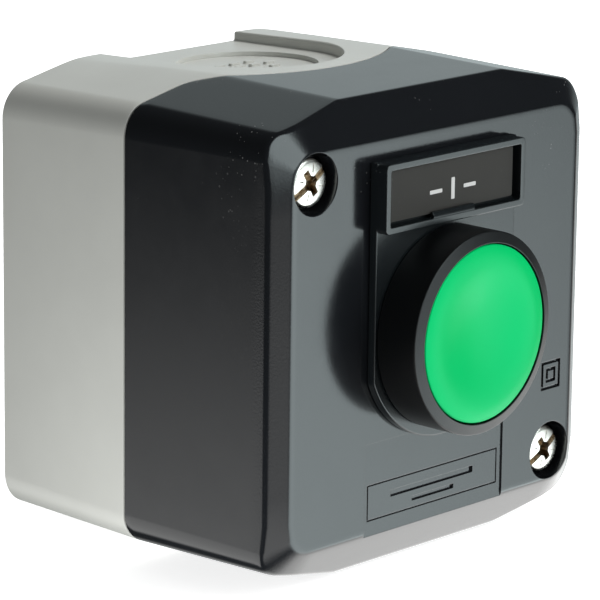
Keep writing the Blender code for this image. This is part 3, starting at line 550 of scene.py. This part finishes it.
class Wall:
    """The case's drafted wall: where an outline point is at any depth."""

    def __init__(self, inset):
        self.rear = case_outline(REAR_HALF, inset)
        self.seam = case_outline(SEAM_HALF, inset)
        self.front = case_outline(FRONT_HALF, inset)
        self.count = len(self.seam)
        self.seam_depths = [seam_depth(x) for x, _ in case_outline(SEAM_HALF)]

    def point(self, i, depth):
        if depth < SEAM_DEPTH:
            a, b, share = self.rear[i], self.seam[i], depth / SEAM_DEPTH
        else:
            a, b, share = self.seam[i], self.front[i], (depth - SEAM_DEPTH) / (DEPTH - SEAM_DEPTH)
        return Vector((a[0] + (b[0] - a[0]) * share, -depth, a[1] + (b[1] - a[1]) * share))

    def ring(self, depths):
        return [self.point(i, depths[i]) for i in range(self.count)]

    def flat_ring(self, depth):
        return self.ring([depth] * self.count)

    def seam_ring(self, shift):
        return self.ring([d + shift for d in self.seam_depths])


def field_nearest(x, z):
    """The nearest point on the rim of the face's flat field, the way out and the distance."""
    core_x = FIELD_HALF[0] - FIELD_R
    core_z = FIELD_HALF[1] - FIELD_R
    core = Vector((max(-core_x, min(core_x, x)), max(-core_z, min(core_z, z))))
    away = Vector((x, z)) - core
    out = away.normalized()
    return core + out * FIELD_R, out, away.length - FIELD_R


def soft_step(t, width):
    """Zero below 0 and t above it, blended over a width."""
    return (t + math.hypot(t, width)) / 2


def bend(a, corner, b, steps):
    """Points on a round corner, the two ends included."""
    shares = (k / steps for k in range(steps + 1))
    return [a * (1 - t) ** 2 + corner * 2 * t * (1 - t) + b * t**2 for t in shares]


def lid_rings():
    wall = Wall(0.0)
    rim_soft, crease, seam_clear = 0.3 * MM, 0.55 * MM, 0.25 * MM
    ceiling_rim, ceiling_inset = 47.5 * MM, 4.6 * MM
    columns = []
    for i in range(wall.count):
        # the wall leans, so the depth where the chamfer meets it settles over a few steps
        depth = DEPTH - 2 * MM
        for _ in range(12):
            edge = wall.point(i, depth)
            rim, out, reach = field_nearest(edge.x, edge.z)
            depth = DEPTH - CHAMFER_SLOPE * reach
        column = []
        for t in (-1.0, -0.45, -0.2, 0.0, 0.2, 0.45, 1.0):
            t *= 1 * MM
            at = rim + out * t
            column.append(Vector((at.x, -(DEPTH - CHAMFER_SLOPE * soft_step(t, rim_soft)), at.y)))
        before = Vector((edge.x - out.x * crease, -(depth + CHAMFER_SLOPE * crease), edge.z - out.y * crease))
        for share in (0.35, 0.7):
            column.append(column[6].lerp(before, share))
        column += bend(before, edge, wall.point(i, depth - crease), 5)
        low, high = wall.seam_depths[i] + SEAM_GAP + seam_clear, depth - crease
        for share in (0.04, 0.25, 0.5, 0.75, 0.96):
            column.append(wall.point(i, high + (low - high) * share))
        columns.append(column)
    rings = [list(ring) for ring in zip(*columns)]
    rings += rounded_seam(SEAM_GAP, 1)
    rebate, inner = Wall(REBATE_INSET), Wall(WALL)
    rings += [rebate.seam_ring(SEAM_GAP), rebate.seam_ring(REBATE_DEEP)]
    rings += [inner.seam_ring(REBATE_DEEP), inner.flat_ring(ceiling_rim)]
    rings.append(Wall(ceiling_inset).flat_ring(DEPTH - FRONT_WALL))
    return rings


def rounded_seam(shift, side):
    """The rounded rim of a shell at the seam. Side is 1 for the lid and -1 for the base."""
    return [Wall(inset).seam_ring(shift + side * back) for inset, back in fillet(SEAM_SOFT, 3)]


def lid_shell():
    lid = skin("lid_shell", lid_rings())
    well_floor, boss_rear = 50.0 * MM, 33.4 * MM
    boss_r, way_r, rim_flare = 5.4 * MM, 2.3 * MM, 0.18 * MM
    past = DEPTH + 5 * MM
    screws = [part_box(f"lid_screw_{w}") for w in ("upper_left", "lower_right")]
    places = [((lo.x + hi.x) / 2, (lo.z + hi.z) / 2) for lo, hi in screws]
    bosses = [rod("boss", boss_r, (boss_rear, DEPTH - FRONT_WALL + 1 * MM), at) for at in places]
    combine(lid, merged("bosses", bosses), "UNION")
    cutters = [rod("well", SCREW_WELL_R, (well_floor, past), at, rim_flare, DEPTH) for at in places]
    cutters.append(rod("head_hole", HOLE_R, (DEPTH - 6 * MM, past), (0, 0)))
    combine(lid, merged("wells", cutters))
    for at in places:
        combine(lid, rod("way", way_r, (boss_rear - 3 * MM, well_floor + 1 * MM), at))
    face_marks(lid)
    return shade(lid, 28)


def flared_frame(name, half, radius, middle, floor, flare):
    """A rectangular sunk field as a cutter, its rim rounded by a flare."""

    def grown(out, depth):
        return level(rectangle((half[0] + out, half[1] + out), radius + out, middle), depth)

    rings = [grown(0.0, floor)]
    rings += [grown(out, DEPTH - back) for out, back in fillet(flare, 3)]
    rings.append(grown(flare, DEPTH + 3 * MM))
    return skin(name, rings)


def rectangle(half, radius, middle=(0.0, 0.0), steps=5):
    points = []
    for turn, (sx, sz) in enumerate(((1, 1), (-1, 1), (-1, -1), (1, -1))):
        for i in range(steps + 1):
            angle = math.pi / 2 * (turn + i / steps)
            x = sx * (half[0] - radius) + radius * math.cos(angle)
            z = sz * (half[1] - radius) + radius * math.sin(angle)
            points.append((middle[0] + x, middle[1] + z))
    return points


def line_frame(name, x, z, width, depth):
    """A rectangular line as a cutter."""
    middle = ((x[0] + x[1]) / 2, (z[0] + z[1]) / 2)
    half = ((x[1] - x[0]) / 2, (z[1] - z[0]) / 2)
    inner = (half[0] - width, half[1] - width)
    outside = rectangle(half, 0.1 * MM, middle, 3)
    inside = rectangle(inner, 0.05 * MM, middle, 3)
    around = ((outside, depth[0]), (outside, depth[1]), (inside, depth[1]), (inside, depth[0]))
    bm = bmesh.new()
    rows = [[bm.verts.new(p) for p in level(points, d)] for points, d in around]
    for near, far in zip(rows, rows[1:] + rows[:1]):
        bridge(bm, near, far)
    return from_bmesh(name, bm)


def face_marks(lid):
    """The sunk label field with two plain bars, and the double square of class II insulation."""
    sink = 0.25 * MM
    floor, above = DEPTH - sink, DEPTH + 2 * MM
    middle = (0.0, (-28.6 - 15.05) / 2 * MM)
    half = (14.97 * MM, (28.6 - 15.05) / 2 * MM)
    combine(lid, flared_frame("label_field", half, 0.15 * MM, middle, floor, 0.07 * MM))
    line, line_cut, bar_cut = 0.2 * MM, (floor - 0.2 * MM, above), (floor - 0.35 * MM, above)
    marks = [
        line_frame("label_border", (-14.2 * MM, 14.0 * MM), (-26.4 * MM, -21.1 * MM), line, line_cut),
        box("long_bar", (-9.2 * MM, 8.6 * MM), bar_cut, (-23.7 * MM, -22.75 * MM)),
        box("short_bar", (-4.6 * MM, 4.4 * MM), bar_cut, (-25.25 * MM, -24.6 * MM)),
    ]
    square_x, square_z, square_line = 25.73 * MM, -12.25 * MM, 0.45 * MM
    for half_side in (2.15 * MM, 1.08 * MM):
        x = (square_x - half_side, square_x + half_side)
        z = (square_z - half_side, square_z + half_side)
        marks.append(line_frame("square", x, z, square_line, (DEPTH - square_line, above)))
    combine(lid, merged("face_marks", marks))


def base_rings():
    wall, tongue, inner = Wall(0.0), Wall(TONGUE_INSET), Wall(WALL)
    seam_clear = 0.3 * MM
    rings = [Wall(inset).flat_ring(lift) for lift, inset in fillet(REAR_EDGE, 4)]
    for share in (0.05, 0.35, 0.65, 0.95):
        rings.append(wall.ring([REAR_EDGE + (d - seam_clear - REAR_EDGE) * share for d in wall.seam_depths]))
    rings += rounded_seam(0.0, -1)
    rings += [tongue.seam_ring(0.0), tongue.seam_ring(TONGUE_HIGH)]
    rings += [inner.seam_ring(TONGUE_HIGH), inner.flat_ring(REAR_WALL)]
    return rings


def seat_path(offset, rear):
    """The seat's plan, grown by an offset: straight at the wall and round at the front."""
    steps = 40
    half = SEAT_HALF + offset
    points = [(half, rear), (half, 0.0), (half, ENTRY_DEPTH * 0.5)]
    for i in range(steps + 1):
        angle = math.pi * i / steps
        points.append((half * math.cos(angle), ENTRY_DEPTH + half * math.sin(angle)))
    points += [(-half, ENTRY_DEPTH * 0.5), (-half, 0.0), (-half, rear)]
    return points


def seat_floor(depth):
    """The seat's height, which rises a little towards the seam."""
    return SEAT_FLOOR + SEAT_DRAFT * depth


def roof_height(depth):
    """The case's height at its ridge."""
    share = min(depth / SEAM_DEPTH, 1.0)
    later = max(depth - SEAM_DEPTH, 0.0) / (DEPTH - SEAM_DEPTH)
    return REAR_HALF[1] + (SEAM_HALF[1] - REAR_HALF[1]) * share + (FRONT_HALF[1] - SEAM_HALF[1]) * later


def cable_entry(base, side):
    """A sunk seat with softly rounded banks, and a knock-out with raised dashes."""
    pad_low, pad_high, pad_wall = 30.0 * MM, SEAT_FLOOR + 1.1 * MM, 2.5 * MM
    pad_plan = seat_path(pad_wall, REAR_WALL / 2)
    pad = skin("pad", [[(x, -d, side * z) for x, d in pad_plan] for z in (pad_low, pad_high)])
    combine(base, pad, "UNION")
    rings = []
    rear, foot = -4 * MM, 0.25 * MM
    for lift, back in fillet(foot, 3):
        rings.append([(x, -d, side * (seat_floor(d) + lift)) for x, d in seat_path(-back, rear)])
    for out, drop in fillet(SEAT_LIP, 6):
        plan = seat_path(out, rear)
        rings.append([(x, -d, side * (roof_height(max(d, 0.0)) - drop)) for x, d in plan])
    rings.append([(x, -d, side * 40 * MM) for x, d in seat_path(SEAT_LIP, rear)])
    combine(base, skin("seat", rings))
    # the knock-out's disc: how far out each ring is and how far above the seat, in mm
    sink, steps = [], 96
    for out, lift in ((0, -ENTRY_SINK / MM), (0, -0.15), (0.05, -0.04), (0.15, 0.0), (0.15, 2.0)):
        ring = []
        for i in range(steps):
            angle = 2 * math.pi * i / steps
            r = ENTRY_R + out * MM
            depth = ENTRY_DEPTH - r * math.sin(angle)
            ring.append((r * math.cos(angle), -depth, side * (seat_floor(depth) + lift * MM)))
        sink.append(ring)
    combine(base, skin("sink", sink))
    combine(base, entry_marks(side), "UNION")


def entry_marks(side):
    """Three rows of short raised dashes; places and spacing are in mm."""
    marks = []
    height, size, spacing = 0.35 * MM, (1.9 * MM, 0.75 * MM), 3.1

    def dash(at):
        rings = []
        for grow, z in ((0.10, -0.15), (0.0, height / MM - 0.05), (-0.06, height / MM)):
            half = (size[0] / 2 + grow * MM, size[1] / 2 + grow * MM)
            ring = []
            for point in rectangle(half, min(half) * 0.8):
                x, y = Vector(point)
                depth = ENTRY_DEPTH - at[1] - y
                ring.append((at[0] + x, -depth, side * (seat_floor(depth) - ENTRY_SINK + z * MM)))
            rings.append(ring)
        return skin("dash", rings)

    for shift, count in ((-2.6, 3), (0.0, 4), (2.6, 3)):
        for i in range(count):
            across = (i - (count - 1) / 2) * spacing
            marks.append(dash((across * MM, shift * MM)))
    return merged("entry_marks", marks)


def base_shell():
    base = skin("base_shell", base_rings())
    for side in (1, -1):
        cable_entry(base, side)
    holes = []
    slot_half, slot_r = (3.6 * MM, 2.4 * MM), 2.39 * MM
    for at in ((25.3 * MM, 23.5 * MM), (-25.3 * MM, -23.5 * MM)):
        slot = rectangle(slot_half, slot_r, at, 12)
        holes.append(skin("wall_slot", [level(slot, d) for d in (-3 * MM, REAR_WALL + 3 * MM)]))
    behind, relief = -1 * MM, 0.8 * MM
    for side in (1, -1):
        pocket = rectangle((7 * MM, 17 * MM), 1.0 * MM, (side * 22.5 * MM, 0.0))
        holes.append(skin("relief", [level(pocket, d) for d in (behind, relief)]))
    combine(base, merged("rear_cuts", holes))
    inner, outer = 9.6 * MM, 10.2 * MM
    groove = [(inner, behind), (outer, behind), (outer, relief), (inner, relief)]
    combine(base, lathe("rear_ring", groove, steps=96))
    return shade(base, 28)


# ---------------------------------------------------------------- head, legend and screws
def bezel():
    """The head's ring, whose rim rises to the cap, with its gasket groove and its barrel."""
    rear = 55.5 * MM
    floor = rear + 1.4 * MM
    outer, front, crest = 14.6 * MM, 62.35 * MM, 62.88 * MM
    inner = 12.95 * MM
    soft = 0.05 * MM
    bore, well, well_rear = 5.2 * MM, 9.4 * MM, 43 * MM
    barrel, barrel_rear = 11.0 * MM, 41.2 * MM
    groove_in, groove_out, groove = 12.3 * MM, 13.7 * MM, rear + 0.8 * MM
    profile = rounded(
        [
            (bore, barrel_rear), (barrel, barrel_rear, 0.4 * MM), (barrel, rear, 0), (groove_in, rear),
            (groove_in, groove), (groove_out, groove), (groove_out, rear), (outer, rear, 0.25 * MM),
            (outer, rear + 2 * MM, 0), (outer, front - 1 * MM, 0), (outer, front, 0.2 * MM),
            (inner, crest, 0.14 * MM), (inner, floor), (well, floor), (well, well_rear),
            (bore, well_rear),
        ],
        soft,
    )
    obj = lathe("bezel_ring", profile, steps=160)
    key = box("key", (-1.3 * MM, 1.3 * MM), (51.4 * MM, 55.6 * MM), (10.4 * MM, 12.0 * MM))
    combine(obj, key, "UNION")
    return shade(obj, 30)


def cap():
    """A dished green face with a broad rim that falls towards a tight rounded edge."""
    outer, peak, peak_r = 12.76 * MM, 63.0 * MM, 10.4 * MM
    dish, fall, edge = 0.85 * MM, 0.22 * MM, 0.25 * MM
    rear, stud_r, stud_rear = 61.6 * MM, 3.0 * MM, 58.6 * MM
    profile = [(0.0, peak - dish)]
    steps = 24
    for i in range(1, steps + 1):
        share = i / steps
        profile.append((peak_r * share, peak - dish + dish * share**2 * (1.5 - 0.5 * share**4)))
    for share in (0.12, 0.25, 0.4, 0.55, 0.7, 0.85):
        profile.append((peak_r + (outer - edge - peak_r) * share, peak - fall * share**2))
    profile += [(outer - back, peak - (fall + drop)) for drop, back in fillet(edge, 6)]
    profile += [(outer, rear), (stud_r, rear), (stud_r, stud_rear), (0.0, stud_rear)]
    return shade(lathe("cap_face", profile, steps=160), 50)


def holder_outline(inset):
    """The holder's plate: square at the top and round about the head at the bottom."""
    half, radius, top = HOLDER_HALF - inset, 16.0 * MM - inset, HOLDER_TOP - inset
    start = math.acos(half / radius)
    steps = 64
    points = [(-half, top), (half, top), (half, 0.0)]
    for i in range(steps + 1):
        angle = -start - (math.pi - 2 * start) * i / steps
        points.append((radius * math.cos(angle), radius * math.sin(angle)))
    points.append((-half, 0.0))
    return points


def soft_rise(outline_at, low, high, soft, steps=4):
    """Rings up a wall from low to high, rounded over at the top."""
    rounds = [level(outline_at(out), high - back) for out, back in fillet(soft, steps)]
    return [level(outline_at(0.0), low), *rounds]


def legend_holder():
    rear, plate_front, frame_front = 54.15 * MM, 55.3 * MM, 57.09 * MM
    low_z, high_z = 15.43 * MM, HOLDER_TOP
    half = (HOLDER_HALF, (high_z - low_z) / 2)
    middle = (0.0, (low_z + high_z) / 2)
    rim = 1.0 * MM
    holder = skin("holder_frame", soft_rise(holder_outline, rear, plate_front, 0.22 * MM))

    def frame_line(inset):
        return rectangle((half[0] - inset, half[1] - inset), 0.9 * MM - inset, middle, 8)

    combine(holder, skin("frame", soft_rise(frame_line, rear + 0.2 * MM, frame_front, 0.16 * MM)), "UNION")
    # the window opens out at its rim: how far out and the depth, in mm
    window = []
    for out, depth in ((0, 55.5), (0, 56.95), (0.04, 57.05), (0.14, 57.09), (0.14, 60)):
        grown = (half[0] - rim + out * MM, half[1] - rim + out * MM)
        window.append(level(rectangle(grown, 0.25 * MM + out * MM, middle, 6), depth * MM))
    combine(holder, skin("window", window))
    bottom = low_z + rim
    tab_low, tab_high = bottom - 0.6 * MM, bottom + 0.85 * MM
    tab_front, tab_rear = frame_front - 0.05 * MM, 56.42 * MM
    tab = [
        (tab_low, tab_front), (bottom + 0.35 * MM, tab_front), (tab_high, 56.75 * MM),
        (tab_high, tab_rear), (tab_low, tab_rear),
    ]
    ends = [[(x, -front, z) for z, front in tab] for x in (-4.83 * MM, 3.93 * MM)]
    combine(holder, skin("tab", ends), "UNION")
    combine(holder, rod("hole", HOLE_R, (rear - 1 * MM, plate_front + 1 * MM), (0, 0), steps=96))
    return shade(holder, 32)


def legend_plate():
    """The printed insert, with a plain upright mark between two short dashes."""
    half = ((LEGEND_X[1] - LEGEND_X[0]) / 2, (LEGEND_Z[1] - LEGEND_Z[0]) / 2)
    middle = (sum(LEGEND_X) / 2, sum(LEGEND_Z) / 2)
    front = LEGEND_FRONT

    def line(inset):
        return rectangle((half[0] - inset, half[1] - inset), 0.3 * MM, middle, 4)

    plate = shade(skin("legend_insert", soft_rise(line, 55.7 * MM, front, 0.06 * MM)), 32)
    give(plate, LEGEND, "legend_insert", "enclosure", "legend_plate")
    mark_z, dash_x = 19.95 * MM, 3.6 * MM
    upright, dash = (0.36 * MM, 1.55 * MM), (1.3 * MM, 0.28 * MM)
    shapes = []
    for x, size in ((0.0, upright), (-dash_x, dash), (dash_x, dash)):
        def bar(inset, x=x, size=size):
            return rectangle((size[0] - inset, size[1] - inset), 0.12 * MM, (x, mark_z), 4)

        shapes.append(skin("bar", soft_rise(bar, front - 0.03 * MM, front + 0.05 * MM, 0.02 * MM, 2)))
    marks = shade(merged("legend_marks", shapes), 32)
    give(marks, LEGEND_MARK, "white_plastic", "enclosure")


def turned_block(name, size, depth, at, angle, radius=0.1 * MM):
    """A block as a cutter, turned about its own middle."""
    half = (size[0] / 2, size[1] / 2)
    turn = Matrix.Rotation(angle, 2)
    points = [turn @ Vector(p) for p in rectangle(half, radius, steps=3)]
    ring = [(at[0] + p.x, at[1] + p.y) for p in points]
    return skin(name, [level(ring, depth[0]), level(ring, depth[1])])


def lid_screw(where):
    """A domed screw with a slot through its head, a deeper cross recess and ticks between the arms."""
    low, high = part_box(f"lid_screw_{where}")
    at = ((low.x + high.x) / 2, (low.z + high.z) / 2)
    front, rear, head = 53.05 * MM, 51.0 * MM, 3.47 * MM
    crest_r, root_r, tip_r = 2.0 * MM, 1.55 * MM, 1.2 * MM
    turn, pitch, thread_end, tip = 34.0 * MM, 0.9 * MM, 22.6 * MM, 22.0 * MM
    profile = [(0.0, front)]
    for share in (0.2, 0.45, 0.65, 0.8, 0.9):
        profile.append((head * share, front - 0.32 * MM * share**3))
    profile += [(head * 0.97, front - 0.42 * MM), (head, front - 0.62 * MM), (head, rear), (crest_r, rear)]
    profile += [(crest_r, rear - 4 * MM), (root_r, rear - 4.4 * MM), (root_r, turn)]
    while turn - pitch > thread_end:
        profile += [(crest_r, turn - 0.4 * pitch), (crest_r, turn - 0.5 * pitch)]
        profile.append((root_r, turn - 0.92 * pitch))
        turn -= pitch
    profile += [(tip_r, tip), (0.0, tip)]
    screw = lathe(f"{where}_screw", profile, at, 72)
    ahead = front + 1 * MM
    across = SCREW_TURN + math.pi / 2
    # the depths differ a little, so that no two cutters share a floor
    for name, size, sunk, angle in (
        ("slot", (10 * MM, 1.0 * MM), 0.8 * MM, SCREW_TURN),
        ("cross", (3.7 * MM, 0.95 * MM), 1.5 * MM, SCREW_TURN),
        ("across", (3.9 * MM, 1.1 * MM), 1.49 * MM, across),
    ):
        combine(screw, turned_block(name, size, (front - sunk, ahead), at, angle))
    combine(screw, rod("socket", 1.05 * MM, (front - 1.48 * MM, ahead), at, steps=40))
    ticks = []
    tick, tick_r, tick_cut = (1.3 * MM, 0.16 * MM), 2.15 * MM, (front - 0.35 * MM, ahead)
    for i in range(4):
        angle = SCREW_TURN + math.pi / 4 + i * math.pi / 2
        spot = (at[0] + tick_r * math.cos(angle), at[1] + tick_r * math.sin(angle))
        ticks.append(turned_block("tick", tick, tick_cut, spot, angle, 0.05 * MM))
    combine(screw, merged("ticks", ticks))
    shade(screw, 30)
    give(screw, NICKEL, "nickel_steel", "enclosure", f"lid_screw_{where}")


# ---------------------------------------------------------------- springs
def coil(name, radius, wire, span, turns):
    """A wound spring along the depth, with closed ends."""
    low, high = span[0] + wire, span[1] - wire
    closed = 2.1 * wire
    total = turns + 2
    per_turn, sides = 36, 10
    rings = []
    for i in range(int(total * per_turn) + 1):
        turn = i / per_turn
        if turn < 1:
            depth = low + closed * turn
        elif turn > total - 1:
            depth = high - closed * (total - turn)
        else:
            depth = low + closed + (high - low - 2 * closed) * (turn - 1) / turns
        angle = 2 * math.pi * turn
        out = Vector((math.cos(angle), 0, math.sin(angle)))
        centre = out * radius + Vector((0, -depth, 0))
        ring = []
        for k in range(sides):
            around = 2 * math.pi * k / sides
            ring.append(centre + out * wire * math.cos(around) + Vector((0, wire * math.sin(around), 0)))
        rings.append(ring)
    return shade(skin(name, rings), 60)


def springs():
    """The three springs."""
    main = coil("head_spring", 7.2 * MM, 0.45 * MM, (43.2 * MM, 57.0 * MM), 5)
    give(main, STEEL, "spring_steel", "enclosure", "return_spring")
    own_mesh(main)
    rear = coil("block_spring", 2.0 * MM, 0.25 * MM, (5.2 * MM, 11.3 * MM), 4)
    give(rear, STEEL, "spring_steel", "enclosure", "contact_return_spring")
    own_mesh(rear)
    small = coil("bar_spring", 1.45 * MM, 0.2 * MM, (14.0 * MM, 17.0 * MM), 3)
    give(small, STEEL, "spring_steel", "contact_carrier", "bridge_spring")
    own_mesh(small)


# ---------------------------------------------------------------- camera, floor and light
def studio():
    """A pale floor, cards that only reflections see, a soft sky and three lamps."""
    scene = bpy.context.scene
    floor_z = CAD_BOX[0][2] - 0.4 * MM
    base_glow = 0.015
    bm = bmesh.new()
    bmesh.ops.create_grid(bm, x_segments=1, y_segments=1, size=3.0)
    bmesh.ops.translate(bm, vec=(0, 0, floor_z), verts=bm.verts)
    floor = from_bmesh("floor", bm)
    n = Nodes("floor_paper")
    n.link(n.mix(n.noise(4.0), (0.90, 0.90, 0.90), (0.93, 0.93, 0.93)), n.shader.inputs["Base Color"])
    n.shader.inputs["Roughness"].default_value = 0.9
    n.shader.inputs["Specular IOR Level"].default_value = 0.0
    n.shader.inputs["Emission Color"].default_value = (1, 1, 1, 1)
    n.shader.inputs["Emission Strength"].default_value = 0.80
    # seen from below, the floor is clear
    below = n.add("ShaderNodeNewGeometry").outputs["Backfacing"]
    one_sided = n.add("ShaderNodeMixShader")
    n.link(below, one_sided.inputs[0])
    n.link(n.shader.outputs[0], one_sided.inputs[1])
    n.link(n.add("ShaderNodeBsdfTransparent").outputs[0], one_sided.inputs[2])
    n.link(one_sided.outputs[0], n.tree.nodes["Material Output"].inputs["Surface"])
    floor.data.materials.append(n.material)
    floor.visible_glossy = False
    floor.visible_diffuse = False
    floor.visible_shadow = False

    # light that only reflections see: azimuth from +X, elevation, full inside, none outside, radiance
    cool_cards = [
        (-60, -22, 10, 32, 3.5),
        (-80, 32, 17, 25, 3.6),
        (-103, 8, 4, 18, 2.0),
        (-31, -25, 3, 8, 2.5),
        (40, 3, 4, 42, 0.61),
    ]
    plain_cards = [
        (2, -50, 14, 46, 2.8),
        (137, -40, 20, 28.5, 1.6),
        (-106, -34, 6, 28, 1.45),
    ]
    world = bpy.data.worlds.new("studio")
    scene.world = world
    world.use_nodes = True
    world.cycles.sampling_method = "NONE"
    tree = world.node_tree
    new, link = tree.nodes.new, tree.links.new
    background = tree.nodes["Background"]
    out = tree.nodes["World Output"]
    direction = new("ShaderNodeTexCoord").outputs["Generated"]

    def glow(cards, colour):
        """A background with a soft bright disc for each card."""
        total = None
        for azimuth, elevation, inside, outside, radiance in cards:
            flat = math.cos(math.radians(elevation))
            dot = new("ShaderNodeVectorMath")
            dot.operation = "DOT_PRODUCT"
            dot.inputs[1].default_value = (
                flat * math.cos(math.radians(azimuth)),
                flat * math.sin(math.radians(azimuth)),
                math.sin(math.radians(elevation)),
            )
            link(direction, dot.inputs[0])
            fade = new("ShaderNodeMapRange")
            fade.interpolation_type = "SMOOTHSTEP"
            fade.inputs["From Min"].default_value = math.cos(math.radians(outside))
            fade.inputs["From Max"].default_value = math.cos(math.radians(inside))
            fade.inputs["To Min"].default_value = 0.0
            fade.inputs["To Max"].default_value = radiance
            link(dot.outputs["Value"], fade.inputs["Value"])
            add = new("ShaderNodeMath")
            add.inputs[0].default_value = base_glow
            if total is not None:
                link(total, add.inputs[0])
            link(fade.outputs["Result"], add.inputs[1])
            total = add.outputs["Value"]
        shader = new("ShaderNodeBackground")
        shader.inputs["Color"].default_value = (*colour, 1)
        link(total, shader.inputs["Strength"])
        return shader.outputs[0]

    reflected = new("ShaderNodeAddShader")
    link(glow(cool_cards, (0.86, 0.985, 1.0)), reflected.inputs[0])
    link(glow(plain_cards, (1.0, 1.0, 0.985)), reflected.inputs[1])
    background.inputs["Color"].default_value = (1.0, 1.0, 1.0, 1)
    background.inputs["Strength"].default_value = 1.0
    soft = new("ShaderNodeBackground")
    soft.inputs["Color"].default_value = (0.98, 1.0, 1.0, 1)
    height = new("ShaderNodeSeparateXYZ")
    link(direction, height.inputs[0])
    sky = new("ShaderNodeMapRange")
    for socket, value in (("From Min", -0.1), ("From Max", 0.1), ("To Min", 0.45), ("To Max", 0.16)):
        sky.inputs[socket].default_value = value
    link(height.outputs["Z"], sky.inputs["Value"])
    link(sky.outputs["Result"], soft.inputs["Strength"])
    path = new("ShaderNodeLightPath")
    pick_glossy = new("ShaderNodeMixShader")
    link(path.outputs["Is Glossy Ray"], pick_glossy.inputs[0])
    link(soft.outputs[0], pick_glossy.inputs[1])
    link(reflected.outputs[0], pick_glossy.inputs[2])
    pick_camera = new("ShaderNodeMixShader")
    link(path.outputs["Is Camera Ray"], pick_camera.inputs[0])
    link(pick_glossy.outputs[0], pick_camera.inputs[1])
    link(background.outputs[0], pick_camera.inputs[2])
    link(pick_camera.outputs[0], out.inputs["Surface"])

    def softbox(name, place, aim, size, power):
        data = bpy.data.lights.new(name, "AREA")
        data.shape = "RECTANGLE"
        data.size, data.size_y = size
        data.energy = power
        obj = bpy.data.objects.new(name, data)
        scene.collection.objects.link(obj)
        obj.location = place
        obj.rotation_euler = (Vector(aim) - Vector(place)).to_track_quat("-Z", "Y").to_euler()
        obj.visible_glossy = False
        obj.visible_camera = False

    softbox("front", (0.3, -1.0, 0.4), (0, -0.05, 0), (0.8, 0.8), 7.6)
    softbox("top", (0.5, 0.1, 0.87), (0, 0, 0), (0.5, 0.5), 6.1)
    softbox("low_left", (-0.094, -0.060, -0.050), (-0.034, -0.025, -0.025), (0.04, 0.04), 0.05)


def camera():
    """A long lens from the front left, a little above."""
    scene = bpy.context.scene
    azimuth, elevation, roll = math.radians(-47.165), math.radians(13.654), math.radians(0.675)
    distance, aim = 0.5508, Vector((0, -25 * MM, 0))
    shift_right, shift_down = 1.676 * MM, 1.603 * MM
    level_part = math.cos(elevation)
    ahead = Vector((-math.sin(azimuth) * level_part, math.cos(azimuth) * level_part, -math.sin(elevation)))
    right = Vector((math.cos(azimuth), math.sin(azimuth), 0))
    up = right.cross(ahead)
    turned_right = right * math.cos(roll) + up * math.sin(roll)
    turned_up = up * math.cos(roll) - right * math.sin(roll)
    place = aim - ahead * distance + turned_right * shift_right - turned_up * shift_down
    data = bpy.data.cameras.new("camera")
    data.sensor_width = 36.0
    data.lens = 225.1
    data.clip_start, data.clip_end = 0.05, 20.0
    obj = bpy.data.objects.new("camera", data)
    scene.collection.objects.link(obj)
    rotation = Matrix((turned_right, turned_up, -ahead)).transposed().to_4x4()
    obj.matrix_world = Matrix.Translation(place) @ rotation
    scene.camera = obj
    scene.view_settings.view_transform = "Standard"


paint_cad_nodes()
give(base_shell(), LIGHT_GREY, "light_grey_shell", "enclosure", "rear_base")
give(lid_shell(), DARK_GREY, "dark_grey_shell", "enclosure", "front_lid")
give(legend_holder(), HOLDER, "holder_plastic", "enclosure", "legend_holder")
legend_plate()
give(bezel(), BLACK, "black_plastic", "enclosure", "head_bezel")
give(cap(), GREEN, "green_button", "button", "button_cap")
for where in ("upper_left", "lower_right"):
    lid_screw(where)
springs()
studio()
camera()
